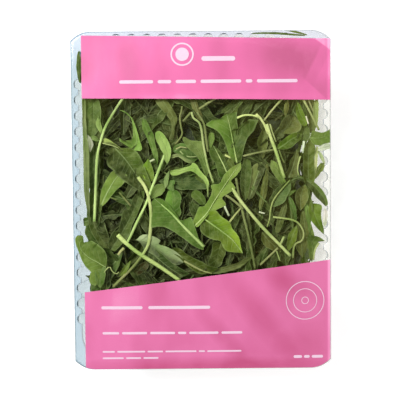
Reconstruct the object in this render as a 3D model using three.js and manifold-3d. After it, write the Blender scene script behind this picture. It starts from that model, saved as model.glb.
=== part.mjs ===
// A clear fluted tray of rocket leaves, sealed with a clear film that carries two pink bands.
//
// Millimetres. +Z points up out of the film, +Y towards the top of the print, and the tray
// rests on its floor at z = 0. The leaves are one heap: a lumpy core with the leaves and
// stems that show fused to it, standing clear of the tray and of the film.

import * as THREE from 'three';
import { mergeVertices } from 'three/addons/utils/BufferGeometryUtils.js';
import ManifoldModule from 'manifold-3d';

const solids = await ManifoldModule();
solids.setup();

// Driving dimensions of the tray
const TRAY_WIDTH = 180;
const TRAY_LENGTH = 236;
const FLANGE_TOP = 54;
const SHEET = 0.6;
const GAP = 0.35;

// Flutes: half-round ribs that bulge out of the walls
const FLUTE_DEPTH = 2.7;
const FLUTE_WIDTH = 7.2;
const FLUTE_STEPS = 3;
const LONG_SIDE = { count: 16, pitch: 10.9 };
const SHORT_SIDE = { count: 12, pitch: 10.6 };

// Walls: where they meet the flange, how they lean in and how their corners turn
const WALL_INSIDE_EDGE = 5.3;
const WALL_DRAFT = THREE.MathUtils.degToRad(8);
const WALL_CORNER_RADIUS = 20;
const CORNER_TIGHTENING = 0.8;
const CORNER_STEPS = 4;
const FLOOR_EDGE_RISE = 2.6;
const FLOOR_EDGE_RUN = 2.2;
const FLOOR_FLUTE_SHARE = 0.55;

// Flange: cut corners and an edge that curls down
const CORNER_CUT = { x: 14, y: 6.3, control: 0.45, steps: 4 };
const CURL_RUN = 1.3;
const CURL_RISE = 1.0;
const CURL_SKIRT = 1.6;

// Film and the two printed bands, whose edges run slightly askew on the tray
const FILM_THICKNESS = 0.3;
const FILM_EDGE_INSET = 0.4;
const FILM_DOME = 3.2;
const FILM_RIPPLE = { slanting: 0.10, steep: 0.09 };
const FILM_FULLNESS = 0.9;
const FILM_CELLS = { x: 12, y: 16 };
const FILM_OVERSIZE = 1.02;
const PRINT_LEFT = -82.3;
const TOP_BAND = { upperLeft: 115.0, upperRight: 111.6, lowerLeft: 71.9, lowerRight: 69.6 };
const BOTTOM_BAND = { upperLeft: -62.8, upperRight: -41.2 };

// Heap of leaves: its core is a rounded block with a lumpy top and lumpy sides
const HEAP_CLEARANCE = 0.6;
const CORE_INSET = 4.5;
const CORE_TOP = 45;
const CORE_SIDES = 36;
const CORE_SQUARENESS = 0.4;
const CORE_LUMP = 1.5;
const CORE_FOOT_SCALE = 0.93;
const CORE_SIDE_LEVELS = [7, 19, 31, CORE_TOP - 3];
const CORE_TOP_SCALES = [CORE_FOOT_SCALE, 0.7, 0.42, 0.14];
const SLIVER = 0.03;
const SEED = 7;

// Blades and stems
const BLADE = 0.9;
const CUPPING = { least: -0.12, most: 0.3 };
const EDGE_WAVE = { share: 0.12, phases: 7 };
const STEM_SIDES = 5;

// Leaves that stand against the walls
const WALL_LEAVES = {
  perLongSide: 6,
  perShortSide: 4,
  slant: 14,
  heights: [[5, 9], [20, 28], [36, 43]],
  widths: [11, 18],
  buriedShare: 0.9,
  lobedShare: 0.5,
};

const HALF_WIDTH = TRAY_WIDTH / 2;
const HALF_LENGTH = TRAY_LENGTH / 2;
const WALL_X = HALF_WIDTH - WALL_INSIDE_EDGE;
const WALL_Y = HALF_LENGTH - WALL_INSIDE_EDGE;
const FILM_UNDERSIDE = FLANGE_TOP + GAP;

// Mulberry32, a small seeded generator of numbers from 0 to 1
function seededRandom(seed) {
  let state = seed;
  return () => {
    state = (state + 0x6d2b79f5) | 0;
    let mixed = Math.imul(state ^ (state >>> 15), 1 | state);
    mixed = (mixed + Math.imul(mixed ^ (mixed >>> 7), 61 | mixed)) ^ mixed;
    return ((mixed ^ (mixed >>> 14)) >>> 0) / 4294967296;
  };
}

const random = seededRandom(SEED);
const between = (low, high) => low + (high - low) * random();

function toSolid(geometry) {
  const bare = geometry.clone();
  bare.deleteAttribute('normal');
  bare.deleteAttribute('uv');
  const merged = mergeVertices(bare, 1e-4);
  return new solids.Manifold(new solids.Mesh({
    numProp: 3,
    vertProperties: new Float32Array(merged.attributes.position.array),
    triVerts: new Uint32Array(merged.index.array),
  }));
}

function toGeometry(solid) {
  const mesh = solid.getMesh();
  const geometry = new THREE.BufferGeometry();
  geometry.setAttribute('position', new THREE.BufferAttribute(mesh.vertProperties, 3));
  geometry.setIndex(new THREE.BufferAttribute(mesh.triVerts, 1));
  geometry.computeVertexNormals();
  return geometry;
}

// Closed body through rings of equally many points, each ring turning left seen from the last
function loft(rings, cap) {
  const count = rings[0].length;
  const positions = rings.flat().flatMap((point) => [point.x, point.y, point.z]);
  const index = [];
  const last = (rings.length - 1) * count;
  for (const [a, b, c] of cap) {
    index.push(c, b, a, last + a, last + b, last + c);
  }
  for (let ring = 0; ring < last; ring += count) {
    for (let side = 0; side < count; side += 1) {
      const next = (side + 1) % count;
      const [a, b, c, d] = [ring + side, ring + next, ring + count + next, ring + count + side];
      index.push(a, b, c, a, c, d);
    }
  }
  const geometry = new THREE.BufferGeometry();
  geometry.setAttribute('position', new THREE.Float32BufferAttribute(positions, 3));
  geometry.setIndex(index);
  return geometry;
}

function fanCap(count) {
  return Array.from({ length: count - 2 }, (_, side) => [0, side + 1, side + 2]);
}

const atHeight = (outline, z) => outline.map((point) => new THREE.Vector3(point.x, point.y, z));

function prism(outline, bottom, top) {
  const geometry = new THREE.ExtrudeGeometry(new THREE.Shape(outline), {
    depth: top - bottom,
    bevelEnabled: false,
  });
  return toSolid(geometry.translate(0, 0, bottom));
}

// Wall outline at one level, turning left from the right side's lower end
function wallOutline(inset, fluteDepth, fluteWidth) {
  const radius = WALL_CORNER_RADIUS - CORNER_TIGHTENING * inset;
  const sides = [
    { out: [1, 0], along: [0, 1], reach: WALL_X, run: WALL_Y, flutes: LONG_SIDE },
    { out: [0, 1], along: [-1, 0], reach: WALL_Y, run: WALL_X, flutes: SHORT_SIDE },
    { out: [-1, 0], along: [0, -1], reach: WALL_X, run: WALL_Y, flutes: LONG_SIDE },
    { out: [0, -1], along: [1, 0], reach: WALL_Y, run: WALL_X, flutes: SHORT_SIDE },
  ];
  const points = [];
  for (const { out, along, reach, run, flutes } of sides) {
    const place = (outward, sideways) => points.push(new THREE.Vector2(
      out[0] * outward + along[0] * sideways,
      out[1] * outward + along[1] * sideways,
    ));
    const wall = reach - inset;
    if (fluteDepth > 0) {
      for (let flute = 0; flute < flutes.count; flute += 1) {
        const centre = (flute - (flutes.count - 1) / 2) * flutes.pitch;
        for (let step = 0; step <= FLUTE_STEPS; step += 1) {
          const turn = Math.PI * step / FLUTE_STEPS;
          place(wall + fluteDepth * Math.sin(turn), centre - fluteWidth / 2 * Math.cos(turn));
        }
      }
    }
    for (let step = 0; step <= CORNER_STEPS; step += 1) {
      const turn = Math.PI / 2 * step / CORNER_STEPS;
      place(wall - radius + radius * Math.cos(turn), run - inset - radius + radius * Math.sin(turn));
    }
  }
  return points;
}

// Flange outline with its corners cut: tangent to the short edges, a kink at the long ones
function flangeOutline(inset) {
  const x = HALF_WIDTH - inset;
  const y = HALF_LENGTH - inset;
  const corner = new THREE.QuadraticBezierCurve(
    new THREE.Vector2(x, y - CORNER_CUT.y),
    new THREE.Vector2(x - CORNER_CUT.control * CORNER_CUT.x, y),
    new THREE.Vector2(x - CORNER_CUT.x, y),
  ).getPoints(CORNER_CUT.steps);
  const mirrored = (signX, signY) => corner.map((p) => new THREE.Vector2(signX * p.x, signY * p.y));
  return [
    ...mirrored(1, 1),
    ...mirrored(-1, 1).reverse(),
    ...mirrored(-1, -1),
    ...mirrored(1, -1).reverse(),
  ];
}

const wallInset = (z) => Math.tan(WALL_DRAFT) * (FLANGE_TOP - z);

// Body of the tray's cup, full of material, shrunk by a wall thickness for its inside
function cup(shrink, top) {
  const floorLevels = [
    { z: shrink, inset: wallInset(0) + FLOOR_EDGE_RUN, flute: FLOOR_FLUTE_SHARE },
    { z: shrink + FLOOR_EDGE_RISE, inset: wallInset(FLOOR_EDGE_RISE), flute: 1 },
    { z: top, inset: wallInset(top), flute: 1 },
  ];
  const outlines = floorLevels.map(({ inset, flute }) => wallOutline(
    inset + shrink,
    FLUTE_DEPTH * flute,
    FLUTE_WIDTH - 2 * shrink,
  ));
  const rings = outlines.map((outline, level) => atHeight(outline, floorLevels[level].z));
  return toSolid(loft(rings, THREE.ShapeUtils.triangulateShape(outlines[0], [])));
}

function curledFlange(drop) {
  const outlines = [
    atHeight(flangeOutline(drop), FLANGE_TOP - CURL_RISE - CURL_SKIRT - 2 * drop),
    atHeight(flangeOutline(drop), FLANGE_TOP - CURL_RISE - drop),
    atHeight(flangeOutline(CURL_RUN + drop), FLANGE_TOP - drop),
  ];
  return toSolid(loft(outlines, THREE.ShapeUtils.triangulateShape(flangeOutline(0), [])));
}

function makeTray() {
  const flange = curledFlange(0).subtract(curledFlange(SHEET));
  const cavity = cup(SHEET, FLANGE_TOP + SHEET);
  return toGeometry(flange.add(cup(0, FLANGE_TOP)).subtract(cavity));
}

// Height of the taut film above its seal: a shallow dome with soft ripples, nothing on the flange
function filmRise(x, y) {
  const across = 1 - Math.min(1, Math.abs(x / WALL_X)) ** 3;
  const down = 1 - Math.min(1, Math.abs(y / WALL_Y)) ** 4;
  const slanting = FILM_RIPPLE.slanting * Math.sin(x / 10 + y / 15 + 1.1);
  const steep = FILM_RIPPLE.steep * Math.sin(y / 8 - x / 19 + 0.4);
  return FILM_DOME * across * down * (FILM_FULLNESS + (slanting + steep));
}

// Thin sheet that follows the film, a little wider than the tray
function filmSheet(bottom, thickness) {
  const { x: columns, y: rows } = FILM_CELLS;
  const positions = [];
  for (const lift of [bottom, bottom + thickness]) {
    for (let row = 0; row <= rows; row += 1) {
      for (let column = 0; column <= columns; column += 1) {
        const x = TRAY_WIDTH * (column / columns - 0.5) * FILM_OVERSIZE;
        const y = TRAY_LENGTH * (row / rows - 0.5) * FILM_OVERSIZE;
        positions.push(x, y, lift + filmRise(x, y));
      }
    }
  }
  const stride = columns + 1;
  const layer = stride * (rows + 1);
  const index = [];
  for (let row = 0; row < rows; row += 1) {
    for (let column = 0; column < columns; column += 1) {
      const a = row * stride + column;
      const [b, c, d] = [a + 1, a + stride + 1, a + stride];
      index.push(a, c, b, a, d, c);
      index.push(layer + a, layer + b, layer + c, layer + a, layer + c, layer + d);
    }
  }
  const run = (cells, at) => Array.from({ length: cells }, (_, cell) => at(cell));
  const rim = [
    ...run(columns, (column) => column),
    ...run(rows, (row) => row * stride + columns),
    ...run(columns, (column) => rows * stride + columns - column),
    ...run(rows, (row) => (rows - row) * stride),
  ];
  rim.forEach((point, place) => {
    const next = rim[(place + 1) % rim.length];
    index.push(point, next, layer + next, point, layer + next, layer + point);
  });
  const geometry = new THREE.BufferGeometry();
  geometry.setAttribute('position', new THREE.Float32BufferAttribute(positions, 3));
  geometry.setIndex(index);
  return toSolid(geometry);
}

// Levels well below and above the film, between which its outlines are cut
const CUTTER = [0, 2 * FLANGE_TOP];

function makeFilm() {
  const outline = prism(flangeOutline(FILM_EDGE_INSET), ...CUTTER);
  return toGeometry(filmSheet(FILM_UNDERSIDE, FILM_THICKNESS).intersect(outline));
}

function makeBand(corners) {
  const level = FILM_UNDERSIDE + FILM_THICKNESS + GAP;
  const edge = prism(flangeOutline(2 * FILM_EDGE_INSET), ...CUTTER);
  const band = prism(corners.map(([x, y]) => new THREE.Vector2(x, y)), ...CUTTER);
  return toGeometry(filmSheet(level, FILM_THICKNESS).intersect(edge).intersect(band));
}

// Space that the heap may fill: the cup without its flutes, a clearance inside the walls
function heapSpace() {
  const levels = [SHEET + HEAP_CLEARANCE, 2 * FLOOR_EDGE_RISE, FLANGE_TOP, FILM_UNDERSIDE + FILM_DOME];
  const extra = [FLOOR_EDGE_RUN, 0, 0, 0];
  const outlines = levels.map((z, level) => wallOutline(
    wallInset(Math.min(z, FLANGE_TOP)) + SHEET + HEAP_CLEARANCE + extra[level],
    0,
    0,
  ));
  const rings = outlines.map((outline, level) => atHeight(outline, levels[level]));
  return toSolid(loft(rings, THREE.ShapeUtils.triangulateShape(outlines[0], [])));
}

function lump(x, y, z) {
  const small = Math.sin(x / 7 + z / 9 + 0.6) * Math.cos(y / 9 - z / 7);
  const broad = Math.sin((x - y) / 13 + 2.1) / 2;
  return CORE_LUMP * (small + broad);
}

function makeCore() {
  const squared = (value) => Math.sign(value) * Math.abs(value) ** CORE_SQUARENESS;
  const ring = (z, scale, lumpy) => Array.from({ length: CORE_SIDES }, (_, side) => {
    const turn = 2 * Math.PI * side / CORE_SIDES;
    const inset = wallInset(z) + CORE_INSET;
    const x = (WALL_X - inset) * scale * squared(Math.cos(turn));
    const y = (WALL_Y - inset) * scale * squared(Math.sin(turn));
    const bulge = lump(x, y, z);
    const grow = lumpy === 'out' ? 1 + bulge / WALL_X : 1;
    return new THREE.Vector3(x * grow, y * grow, z + (lumpy === 'up' ? bulge : 0));
  });
  const rings = [
    ring(SHEET + HEAP_CLEARANCE, CORE_FOOT_SCALE, 'flat'),
    ...CORE_SIDE_LEVELS.map((z) => ring(z, 1, 'out')),
    ...CORE_TOP_SCALES.map((scale) => ring(CORE_TOP, scale, 'up')),
  ];
  return toSolid(loft(rings, fanCap(CORE_SIDES)));
}

// A rounded outline, narrowest at its ends: how far along its bulge lies and how blunt it is
function oval(t, narrowest, lean, bluntness) {
  return narrowest + (1 - narrowest) * Math.sin(Math.PI * t ** lean) ** bluntness;
}

// Three pairs of lobes with notches between them
function lobedShare(t) {
  const notches = 0.68 + 0.32 * Math.cos(19 * t);
  return oval(t, 0.1, 0.9, 0.7) * notches;
}

// Widens from the stalk to a blunt end
function fanShare(t) {
  const blunt = t > 0.93 ? 0.6 : 1;
  return 0.2 + 0.8 * t ** 1.4 * blunt;
}

// Half-width of a blade along its length, from the stalk at 0 to the tip at 1
const FORMS = {
  plain: { steps: 6, share: (t) => oval(t, 0.12, 0.8, 0.8) },
  strap: { steps: 6, share: (t) => oval(t, 0.35, 1, 0.5) },
  lobed: { steps: 11, share: lobedShare },
  fan: { steps: 8, share: fanShare },
};

// A thin wavy blade along a spine. Both faces are split along the same diagonals.
function blade(spine, width, form, facing, limit) {
  const curve = new THREE.CatmullRomCurve3(spine);
  const { steps, share } = FORMS[form];
  const cupping = between(CUPPING.least, CUPPING.most);
  const phase = between(0, 2 * Math.PI);
  const positions = [];
  const faces = [[], []];
  for (let step = 0; step <= steps; step += 1) {
    const t = step / steps;
    const middle = curve.getPoint(t);
    const tangent = curve.getTangent(t);
    const sideways = new THREE.Vector3().crossVectors(tangent, facing).normalize();
    const outward = new THREE.Vector3().crossVectors(sideways, tangent).normalize();
    const half = Math.max(width / 2 * share(t), BLADE);
    for (const across of [-1, 0, 1]) {
      const ripple = EDGE_WAVE.share * Math.sin(EDGE_WAVE.phases * t + phase + across);
      const wave = Math.abs(across) * half * (cupping + ripple);
      const point = middle.clone()
        .addScaledVector(sideways, across * half)
        .addScaledVector(outward, wave);
      limit(point);
      positions.push(...point.clone().addScaledVector(outward, BLADE / 2).toArray());
      positions.push(...point.clone().addScaledVector(outward, -BLADE / 2).toArray());
    }
  }
  const corners = [0, 1, 2, 3, 4, 5];
  const [upperLeft, lowerLeft, upperMiddle, lowerMiddle, upperRight, lowerRight] = corners;
  const ringSize = corners.length;
  const strip = (a, b, c, d, face) => faces[face].push([a, b, c], [a, c, d]);
  for (let ring = 0; ring < steps * ringSize; ring += ringSize) {
    const next = ring + ringSize;
    for (const [left, right] of [[upperLeft, upperMiddle], [upperMiddle, upperRight]]) {
      strip(ring + left, ring + right, next + right, next + left, 0);
    }
    for (const [left, right] of [[lowerLeft, lowerMiddle], [lowerMiddle, lowerRight]]) {
      strip(ring + left, ring + right, next + right, next + left, 1);
    }
    strip(ring + lowerLeft, ring + upperLeft, next + upperLeft, next + lowerLeft, 0);
    strip(ring + upperRight, ring + lowerRight, next + lowerRight, next + upperRight, 0);
  }
  const end = steps * ringSize;
  for (const [left, right, lowRight, lowLeft] of [
    [upperLeft, upperMiddle, lowerMiddle, lowerLeft],
    [upperMiddle, upperRight, lowerRight, lowerMiddle],
  ]) {
    strip(left, right, lowRight, lowLeft, 1);
    strip(end + left, end + right, end + lowRight, end + lowLeft, 0);
  }
  const geometry = new THREE.BufferGeometry();
  geometry.setAttribute('position', new THREE.Float32BufferAttribute(positions, 3));
  geometry.setIndex([...faces[0].flat(), ...faces[1].flatMap(([a, b, c]) => [c, b, a])]);
  return toSolid(geometry);
}

function stem(points, thickness) {
  const section = new THREE.Shape(Array.from({ length: STEM_SIDES }, (_, side) => new THREE.Vector2(
    thickness / 2 * Math.cos(2 * Math.PI * side / STEM_SIDES),
    thickness / 2 * Math.sin(2 * Math.PI * side / STEM_SIDES),
  )));
  return toSolid(new THREE.ExtrudeGeometry(section, {
    steps: 2 * (points.length - 1),
    extrudePath: new THREE.CatmullRomCurve3(points),
    bevelEnabled: false,
  }));
}

const underFilm = (x, y, depth) => new THREE.Vector3(x, y, FILM_UNDERSIDE + filmRise(x, y) - depth);

function keepUnderFilm(point) {
  const ceiling = underFilm(point.x, point.y, HEAP_CLEARANCE + BLADE).z;
  point.z = Math.min(point.z, ceiling);
}

// Leaves that lie on top: spine from stalk to tip, width, form and depth under the film
const TOP_LEAVES = [
  { spine: [[23.5, 26.5], [21, 43.5], [20, 63]], width: 31.7, form: 'fan', depth: 3 },
  { spine: [[-23, 23.5], [-25.5, 34.5], [-31, 48]], width: 9.3, form: 'plain', depth: 2 },
  { spine: [[-30.5, 22.5], [-35, 39.5], [-40.5, 57.5]], width: 6.2, form: 'strap', depth: 4 },
  { spine: [[-18.5, 45.5], [-23.5, 60], [-30, 72]], width: 11.7, form: 'plain', depth: 4 },
  { spine: [[-78.5, -9], [-80, 30], [-81, 71.5]], width: 6.2, form: 'strap', depth: 3 },
  { spine: [[-49, 59], [-45.5, 40], [-38, 11.5]], width: 20.7, form: 'lobed', depth: 4 },
  { spine: [[-73, -5], [-66, 9], [-53.5, 20]], width: 13.1, form: 'plain', depth: 4 },
  { spine: [[-66, -61.5], [-73, -41], [-79, -24]], width: 15.9, form: 'lobed', depth: 2.5 },
  { spine: [[1, -32.5], [-15.5, -13.5], [-33.5, 3.5]], width: 27.6, form: 'lobed', depth: 4 },
  { spine: [[-12, -55.5], [-28, -38], [-46.5, -25]], width: 19.3, form: 'lobed', depth: 5 },
  { spine: [[-5.5, -18], [9.5, 3.5], [27, 27]], width: 26.2, form: 'lobed', depth: 2.5 },
  { spine: [[-3.5, -16.5], [13, -23.5], [27.5, -37.5]], width: 18.6, form: 'plain', depth: 2.5 },
  { spine: [[52, 35], [61, 42.5], [68.5, 52.5]], width: 8.3, form: 'plain', depth: 4 },
  { spine: [[76.5, 9.5], [76.5, 27.5], [76.5, 43]], width: 8.3, form: 'plain', depth: 3 },
  { spine: [[67.5, 14], [75, 7.5], [79, -3.5]], width: 11.7, form: 'plain', depth: 3.5 },
  { spine: [[73, 0.5], [76.5, -10], [79, -24]], width: 10.3, form: 'plain', depth: 4 },
  { spine: [[76.5, -45], [77, -34], [74.5, -23.5]], width: 9, form: 'lobed', depth: 3.5 },
  { spine: [[48.5, -2.5], [56, 6.5], [65.5, 16.5]], width: 11.7, form: 'plain', depth: 5 },
];

// Stems that lie on top: points along the stem, thickness and depth under the film
const TOP_STEMS = [
  { points: [[-55, 70.5], [-69.5, 48.5], [-74, 9], [-75, -14]], thickness: 2.5, depth: 2.4 },
  { points: [[-24, 29], [-36, 6.5], [-51, -27.5], [-58, -37.5]], thickness: 2.1, depth: 3 },
  { points: [[-45, 17.5], [-35.5, -7.5], [-45.5, -43], [-63, -59.5]], thickness: 2.5, depth: 2.8 },
  { points: [[-59, -22.5], [-32.5, -43.5], [-15, -54]], thickness: 3, depth: 2.6 },
  { points: [[20, 7.5], [43, -19.5], [61, -39.5]], thickness: 2.7, depth: 2.6 },
  { points: [[39, 59.5], [48.5, 40.5], [57.5, 11]], thickness: 2.6, depth: 2.6 },
  { points: [[49.5, -11.5], [67.5, -17], [70, -23.5], [63, -36]], thickness: 1.8, depth: 3 },
  { points: [[70, 70], [76, 56], [80, 47]], thickness: 1.9, depth: 3 },
];

// Lowers both ends of a piece that lies on top into the core, so that it is fused there
function anchoredSpine(places, depth) {
  const last = places.length - 1;
  return places.map(([x, y], place) => {
    const point = underFilm(x, y, depth);
    if (place === 0 || place === last) {
      point.z = CORE_TOP - CORE_LUMP;
    }
    return point;
  });
}

function topPieces() {
  const up = new THREE.Vector3(0, 0, 1);
  const leaves = TOP_LEAVES.map(({ spine, width, form, depth }) => (
    blade(anchoredSpine(spine, depth), width, form, up, keepUnderFilm)
  ));
  const stems = TOP_STEMS.map(({ points, thickness, depth }) => (
    stem(anchoredSpine(points, depth), thickness)
  ));
  return [...leaves, ...stems];
}

// Leaves that stand or lean against one wall, spread evenly along it and slanted at random
function leavesAlongWall(out, along, reach, run, count) {
  const pieces = [];
  for (let place = 0; place < count; place += 1) {
    const start = (place + 0.5 - count / 2) * 2 * run / count;
    const slant = between(-WALL_LEAVES.slant, WALL_LEAVES.slant);
    const heights = WALL_LEAVES.heights.map(([low, high]) => between(low, high));
    const spine = heights.map((z, level) => {
      const buried = level === 1 ? 0 : CORE_INSET * WALL_LEAVES.buriedShare;
      const outward = reach - wallInset(z) - SHEET - HEAP_CLEARANCE - BLADE - buried;
      const sideways = start + slant * (level - 1);
      return new THREE.Vector3(
        out.x * outward + along.x * sideways,
        out.y * outward + along.y * sideways,
        z,
      );
    });
    const form = random() < WALL_LEAVES.lobedShare ? 'lobed' : 'plain';
    pieces.push(blade(spine, between(...WALL_LEAVES.widths), form, out, () => {}));
  }
  return pieces;
}

function wallPieces() {
  const x = new THREE.Vector3(1, 0, 0);
  const y = new THREE.Vector3(0, 1, 0);
  const left = x.clone().negate();
  const down = y.clone().negate();
  const straightX = WALL_X - WALL_CORNER_RADIUS;
  const straightY = WALL_Y - WALL_CORNER_RADIUS;
  return [
    ...leavesAlongWall(x, y, WALL_X, straightY, WALL_LEAVES.perLongSide),
    ...leavesAlongWall(left, y, WALL_X, straightY, WALL_LEAVES.perLongSide),
    ...leavesAlongWall(y, x, WALL_Y, straightX, WALL_LEAVES.perShortSide),
    ...leavesAlongWall(down, x, WALL_Y, straightX, WALL_LEAVES.perShortSide),
  ];
}

// Joins the heap, cuts it to the space under the film and keeps its one outer body, without
// the slivers that are finer than any leaf
function makeHeap() {
  const joined = solids.Manifold.union([makeCore(), ...topPieces(), ...wallPieces()]);
  const overhead = filmSheet(FILM_UNDERSIDE - HEAP_CLEARANCE, FLANGE_TOP);
  const bodies = joined.intersect(heapSpace()).subtract(overhead).simplify(SLIVER).decompose();
  bodies.sort((one, other) => other.volume() - one.volume());
  return toGeometry(bodies[0]);
}

function namedMesh(name, geometry, material) {
  const mesh = new THREE.Mesh(geometry, new THREE.MeshStandardMaterial(material));
  mesh.name = name;
  return mesh;
}

const RIGHT = HALF_WIDTH;
const BELOW = -HALF_LENGTH;
const CLEAR = { roughness: 0.08, metalness: 0, transparent: true, opacity: 0.25 };
const PINK = { color: 0xf889bd, roughness: 0.35, metalness: 0 };

const pack = new THREE.Group();
pack.add(
  namedMesh('tray', makeTray(), { color: 0xdfe8ea, ...CLEAR }),
  namedMesh('leaves', makeHeap(), { color: 0x5f8a3a, roughness: 0.55, metalness: 0 }),
  namedMesh('lid_film', makeFilm(), { color: 0xeef3f3, ...CLEAR }),
  namedMesh('print_top', makeBand([
    [PRINT_LEFT, TOP_BAND.lowerLeft],
    [RIGHT, TOP_BAND.lowerRight],
    [RIGHT, TOP_BAND.upperRight],
    [PRINT_LEFT, TOP_BAND.upperLeft],
  ]), PINK),
  namedMesh('print_bottom', makeBand([
    [PRINT_LEFT, BELOW],
    [RIGHT, BELOW],
    [RIGHT, BOTTOM_BAND.upperRight],
    [PRINT_LEFT, BOTTOM_BAND.upperLeft],
  ]), PINK),
);

export default pack;
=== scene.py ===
import math
import random

import bpy
from mathutils import Matrix, Vector


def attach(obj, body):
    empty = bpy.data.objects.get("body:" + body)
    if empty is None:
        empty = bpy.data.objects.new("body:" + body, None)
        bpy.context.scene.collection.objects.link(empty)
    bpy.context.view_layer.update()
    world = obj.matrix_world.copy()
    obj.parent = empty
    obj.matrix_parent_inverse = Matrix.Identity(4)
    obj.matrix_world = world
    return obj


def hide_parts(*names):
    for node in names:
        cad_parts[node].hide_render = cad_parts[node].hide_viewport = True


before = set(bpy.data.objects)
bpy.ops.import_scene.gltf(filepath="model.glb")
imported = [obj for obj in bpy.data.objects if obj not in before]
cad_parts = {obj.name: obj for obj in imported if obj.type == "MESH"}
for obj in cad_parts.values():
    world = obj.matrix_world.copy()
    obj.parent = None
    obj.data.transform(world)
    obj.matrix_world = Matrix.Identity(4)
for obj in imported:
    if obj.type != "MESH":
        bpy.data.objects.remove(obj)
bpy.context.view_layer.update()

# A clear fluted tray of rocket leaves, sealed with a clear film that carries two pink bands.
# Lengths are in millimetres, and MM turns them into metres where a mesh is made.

MM = 0.001
UP = Vector((0, 0, 1))
SEED = 11

# Tray
TRAY_WIDTH = 180
TRAY_LENGTH = 236
FLANGE_TOP = 54
HALF_WIDTH = TRAY_WIDTH / 2
HALF_LENGTH = TRAY_LENGTH / 2
SHEET = 0.6
WALL_INSIDE_EDGE = 5.3
WALL_X = HALF_WIDTH - WALL_INSIDE_EDGE
WALL_Y = HALF_LENGTH - WALL_INSIDE_EDGE
WALL_SLOPE = math.tan(math.radians(8))
CORNER_RADIUS = 20
CORNER_TIGHTENING = 0.8
CORNER_STEPS = 14
FLUTE_DEPTH = 2.7
FLUTE_WIDTH = 7.2
FLUTE_STEPS = 10
LONG_SIDE = {"count": 16, "pitch": 10.9}
SHORT_SIDE = {"count": 12, "pitch": 10.6}
FLOOR_EDGE_RISE = 2.6
FLOOR_EDGE_RUN = 2.2
FLOOR_FLUTE_SHARE = 0.55
CUT_X = 14
CUT_Y = 6.3
CUT_CONTROL = 0.45
CUT_STEPS = 24
CURL_RUN = 1.3
CURL_RISE = 1.0
CURL_SKIRT = 1.6

# Film and print
FILM_UNDERSIDE = 54.35
FILM_LEVEL = FILM_UNDERSIDE + 0.15
PRINT_LEVEL = FILM_UNDERSIDE + 0.45
MARK_LEVEL = FILM_UNDERSIDE + 0.6
FILM_DOME = 3.2
FILM_EDGE_INSET = 0.4
PRINT_LEFT = -82.3
PRINT_RIGHT = 89.2
TOP_BAND = {"upper_left": 115.0, "upper_right": 111.6, "lower_left": 71.9, "lower_right": 69.6}
BOTTOM_BAND = {"upper_left": -62.8, "upper_right": -41.2}

# Camera straight over the pack, as fitted to the flange's four corners in the photograph
PHOTO_SIZE = 400
PIXEL = TRAY_WIDTH / 260
CAMERA_AIM = Vector((-1.28, 1.01, FLANGE_TOP))
CAMERA_DISTANCE = 600
CAMERA_ELEVATION = math.radians(92.93)
CAMERA_ROLL = math.radians(-0.5)
CAMERA_LENS = 77.66
CAMERA_SENSOR = 36

forward = Vector((0, math.cos(CAMERA_ELEVATION), -math.sin(CAMERA_ELEVATION)))
level_up = Vector((0, math.sin(CAMERA_ELEVATION), math.cos(CAMERA_ELEVATION)))
level_right = forward.cross(level_up)
rightward = math.cos(CAMERA_ROLL) * level_right + math.sin(CAMERA_ROLL) * level_up
upward = -math.sin(CAMERA_ROLL) * level_right + math.cos(CAMERA_ROLL) * level_up
camera_place = CAMERA_AIM - forward * CAMERA_DISTANCE
focal_pixels = CAMERA_LENS / CAMERA_SENSOR * PHOTO_SIZE


# Shapes of the tray and the film

def wall_inset(z):
    return WALL_SLOPE * (FLANGE_TOP - z)


def film_rise(x, y):
    """Height of the taut film above its seal, a shallow dome with soft ripples."""
    across = 1 - min(1, abs(x / WALL_X)) ** 3
    down = 1 - min(1, abs(y / WALL_Y)) ** 4
    ripple = 0.10 * math.sin(x / 10 + y / 15 + 1.1) + 0.09 * math.sin(y / 8 - x / 19 + 0.4)
    return FILM_DOME * across * down * (0.9 + ripple)


def corner_cut(inset, steps):
    """The flange's cut corner, from its long edge to its short edge."""
    x = HALF_WIDTH - inset
    y = HALF_LENGTH - inset
    ends = [(x, y - CUT_Y), (x - CUT_CONTROL * CUT_X, y), (x - CUT_X, y)]
    points = []
    for step in range(steps + 1):
        t = step / steps
        weights = ((1 - t) ** 2, 2 * t * (1 - t), t ** 2)
        points.append(tuple(sum(w * end[axis] for w, end in zip(weights, ends)) for axis in (0, 1)))
    return points


def reach_y(x, inset):
    """How far the flange reaches along Y at x, less an inset."""
    curve = corner_cut(inset, CUT_STEPS)
    place = min(abs(x), curve[0][0])
    if place <= curve[-1][0]:
        return HALF_LENGTH - inset
    for (outer_x, outer_y), (inner_x, inner_y) in zip(curve, curve[1:]):
        if inner_x <= place:
            share = (outer_x - place) / max(outer_x - inner_x, 1e-6)
            return outer_y + share * (inner_y - outer_y)
    return HALF_LENGTH - inset


SIDES = [
    {"out": (1, 0), "along": (0, 1), "reach": WALL_X, "run": WALL_Y, "flutes": LONG_SIDE},
    {"out": (0, 1), "along": (-1, 0), "reach": WALL_Y, "run": WALL_X, "flutes": SHORT_SIDE},
    {"out": (-1, 0), "along": (0, -1), "reach": WALL_X, "run": WALL_Y, "flutes": LONG_SIDE},
    {"out": (0, -1), "along": (1, 0), "reach": WALL_Y, "run": WALL_X, "flutes": SHORT_SIDE},
]


def beside(side, outward, sideways):
    """The place so far from the middle towards one side, and so far along that side."""
    return tuple(out * outward + along * sideways for out, along in zip(side["out"], side["along"]))


def flute_points(flutes):
    """For each point of a side's flutes, how far along it lies and its share of their depth."""
    for flute in range(flutes["count"]):
        centre = (flute - (flutes["count"] - 1) / 2) * flutes["pitch"]
        for step in range(FLUTE_STEPS + 1):
            turn = math.pi * step / FLUTE_STEPS
            yield centre - FLUTE_WIDTH / 2 * math.cos(turn), math.sin(turn)


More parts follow.
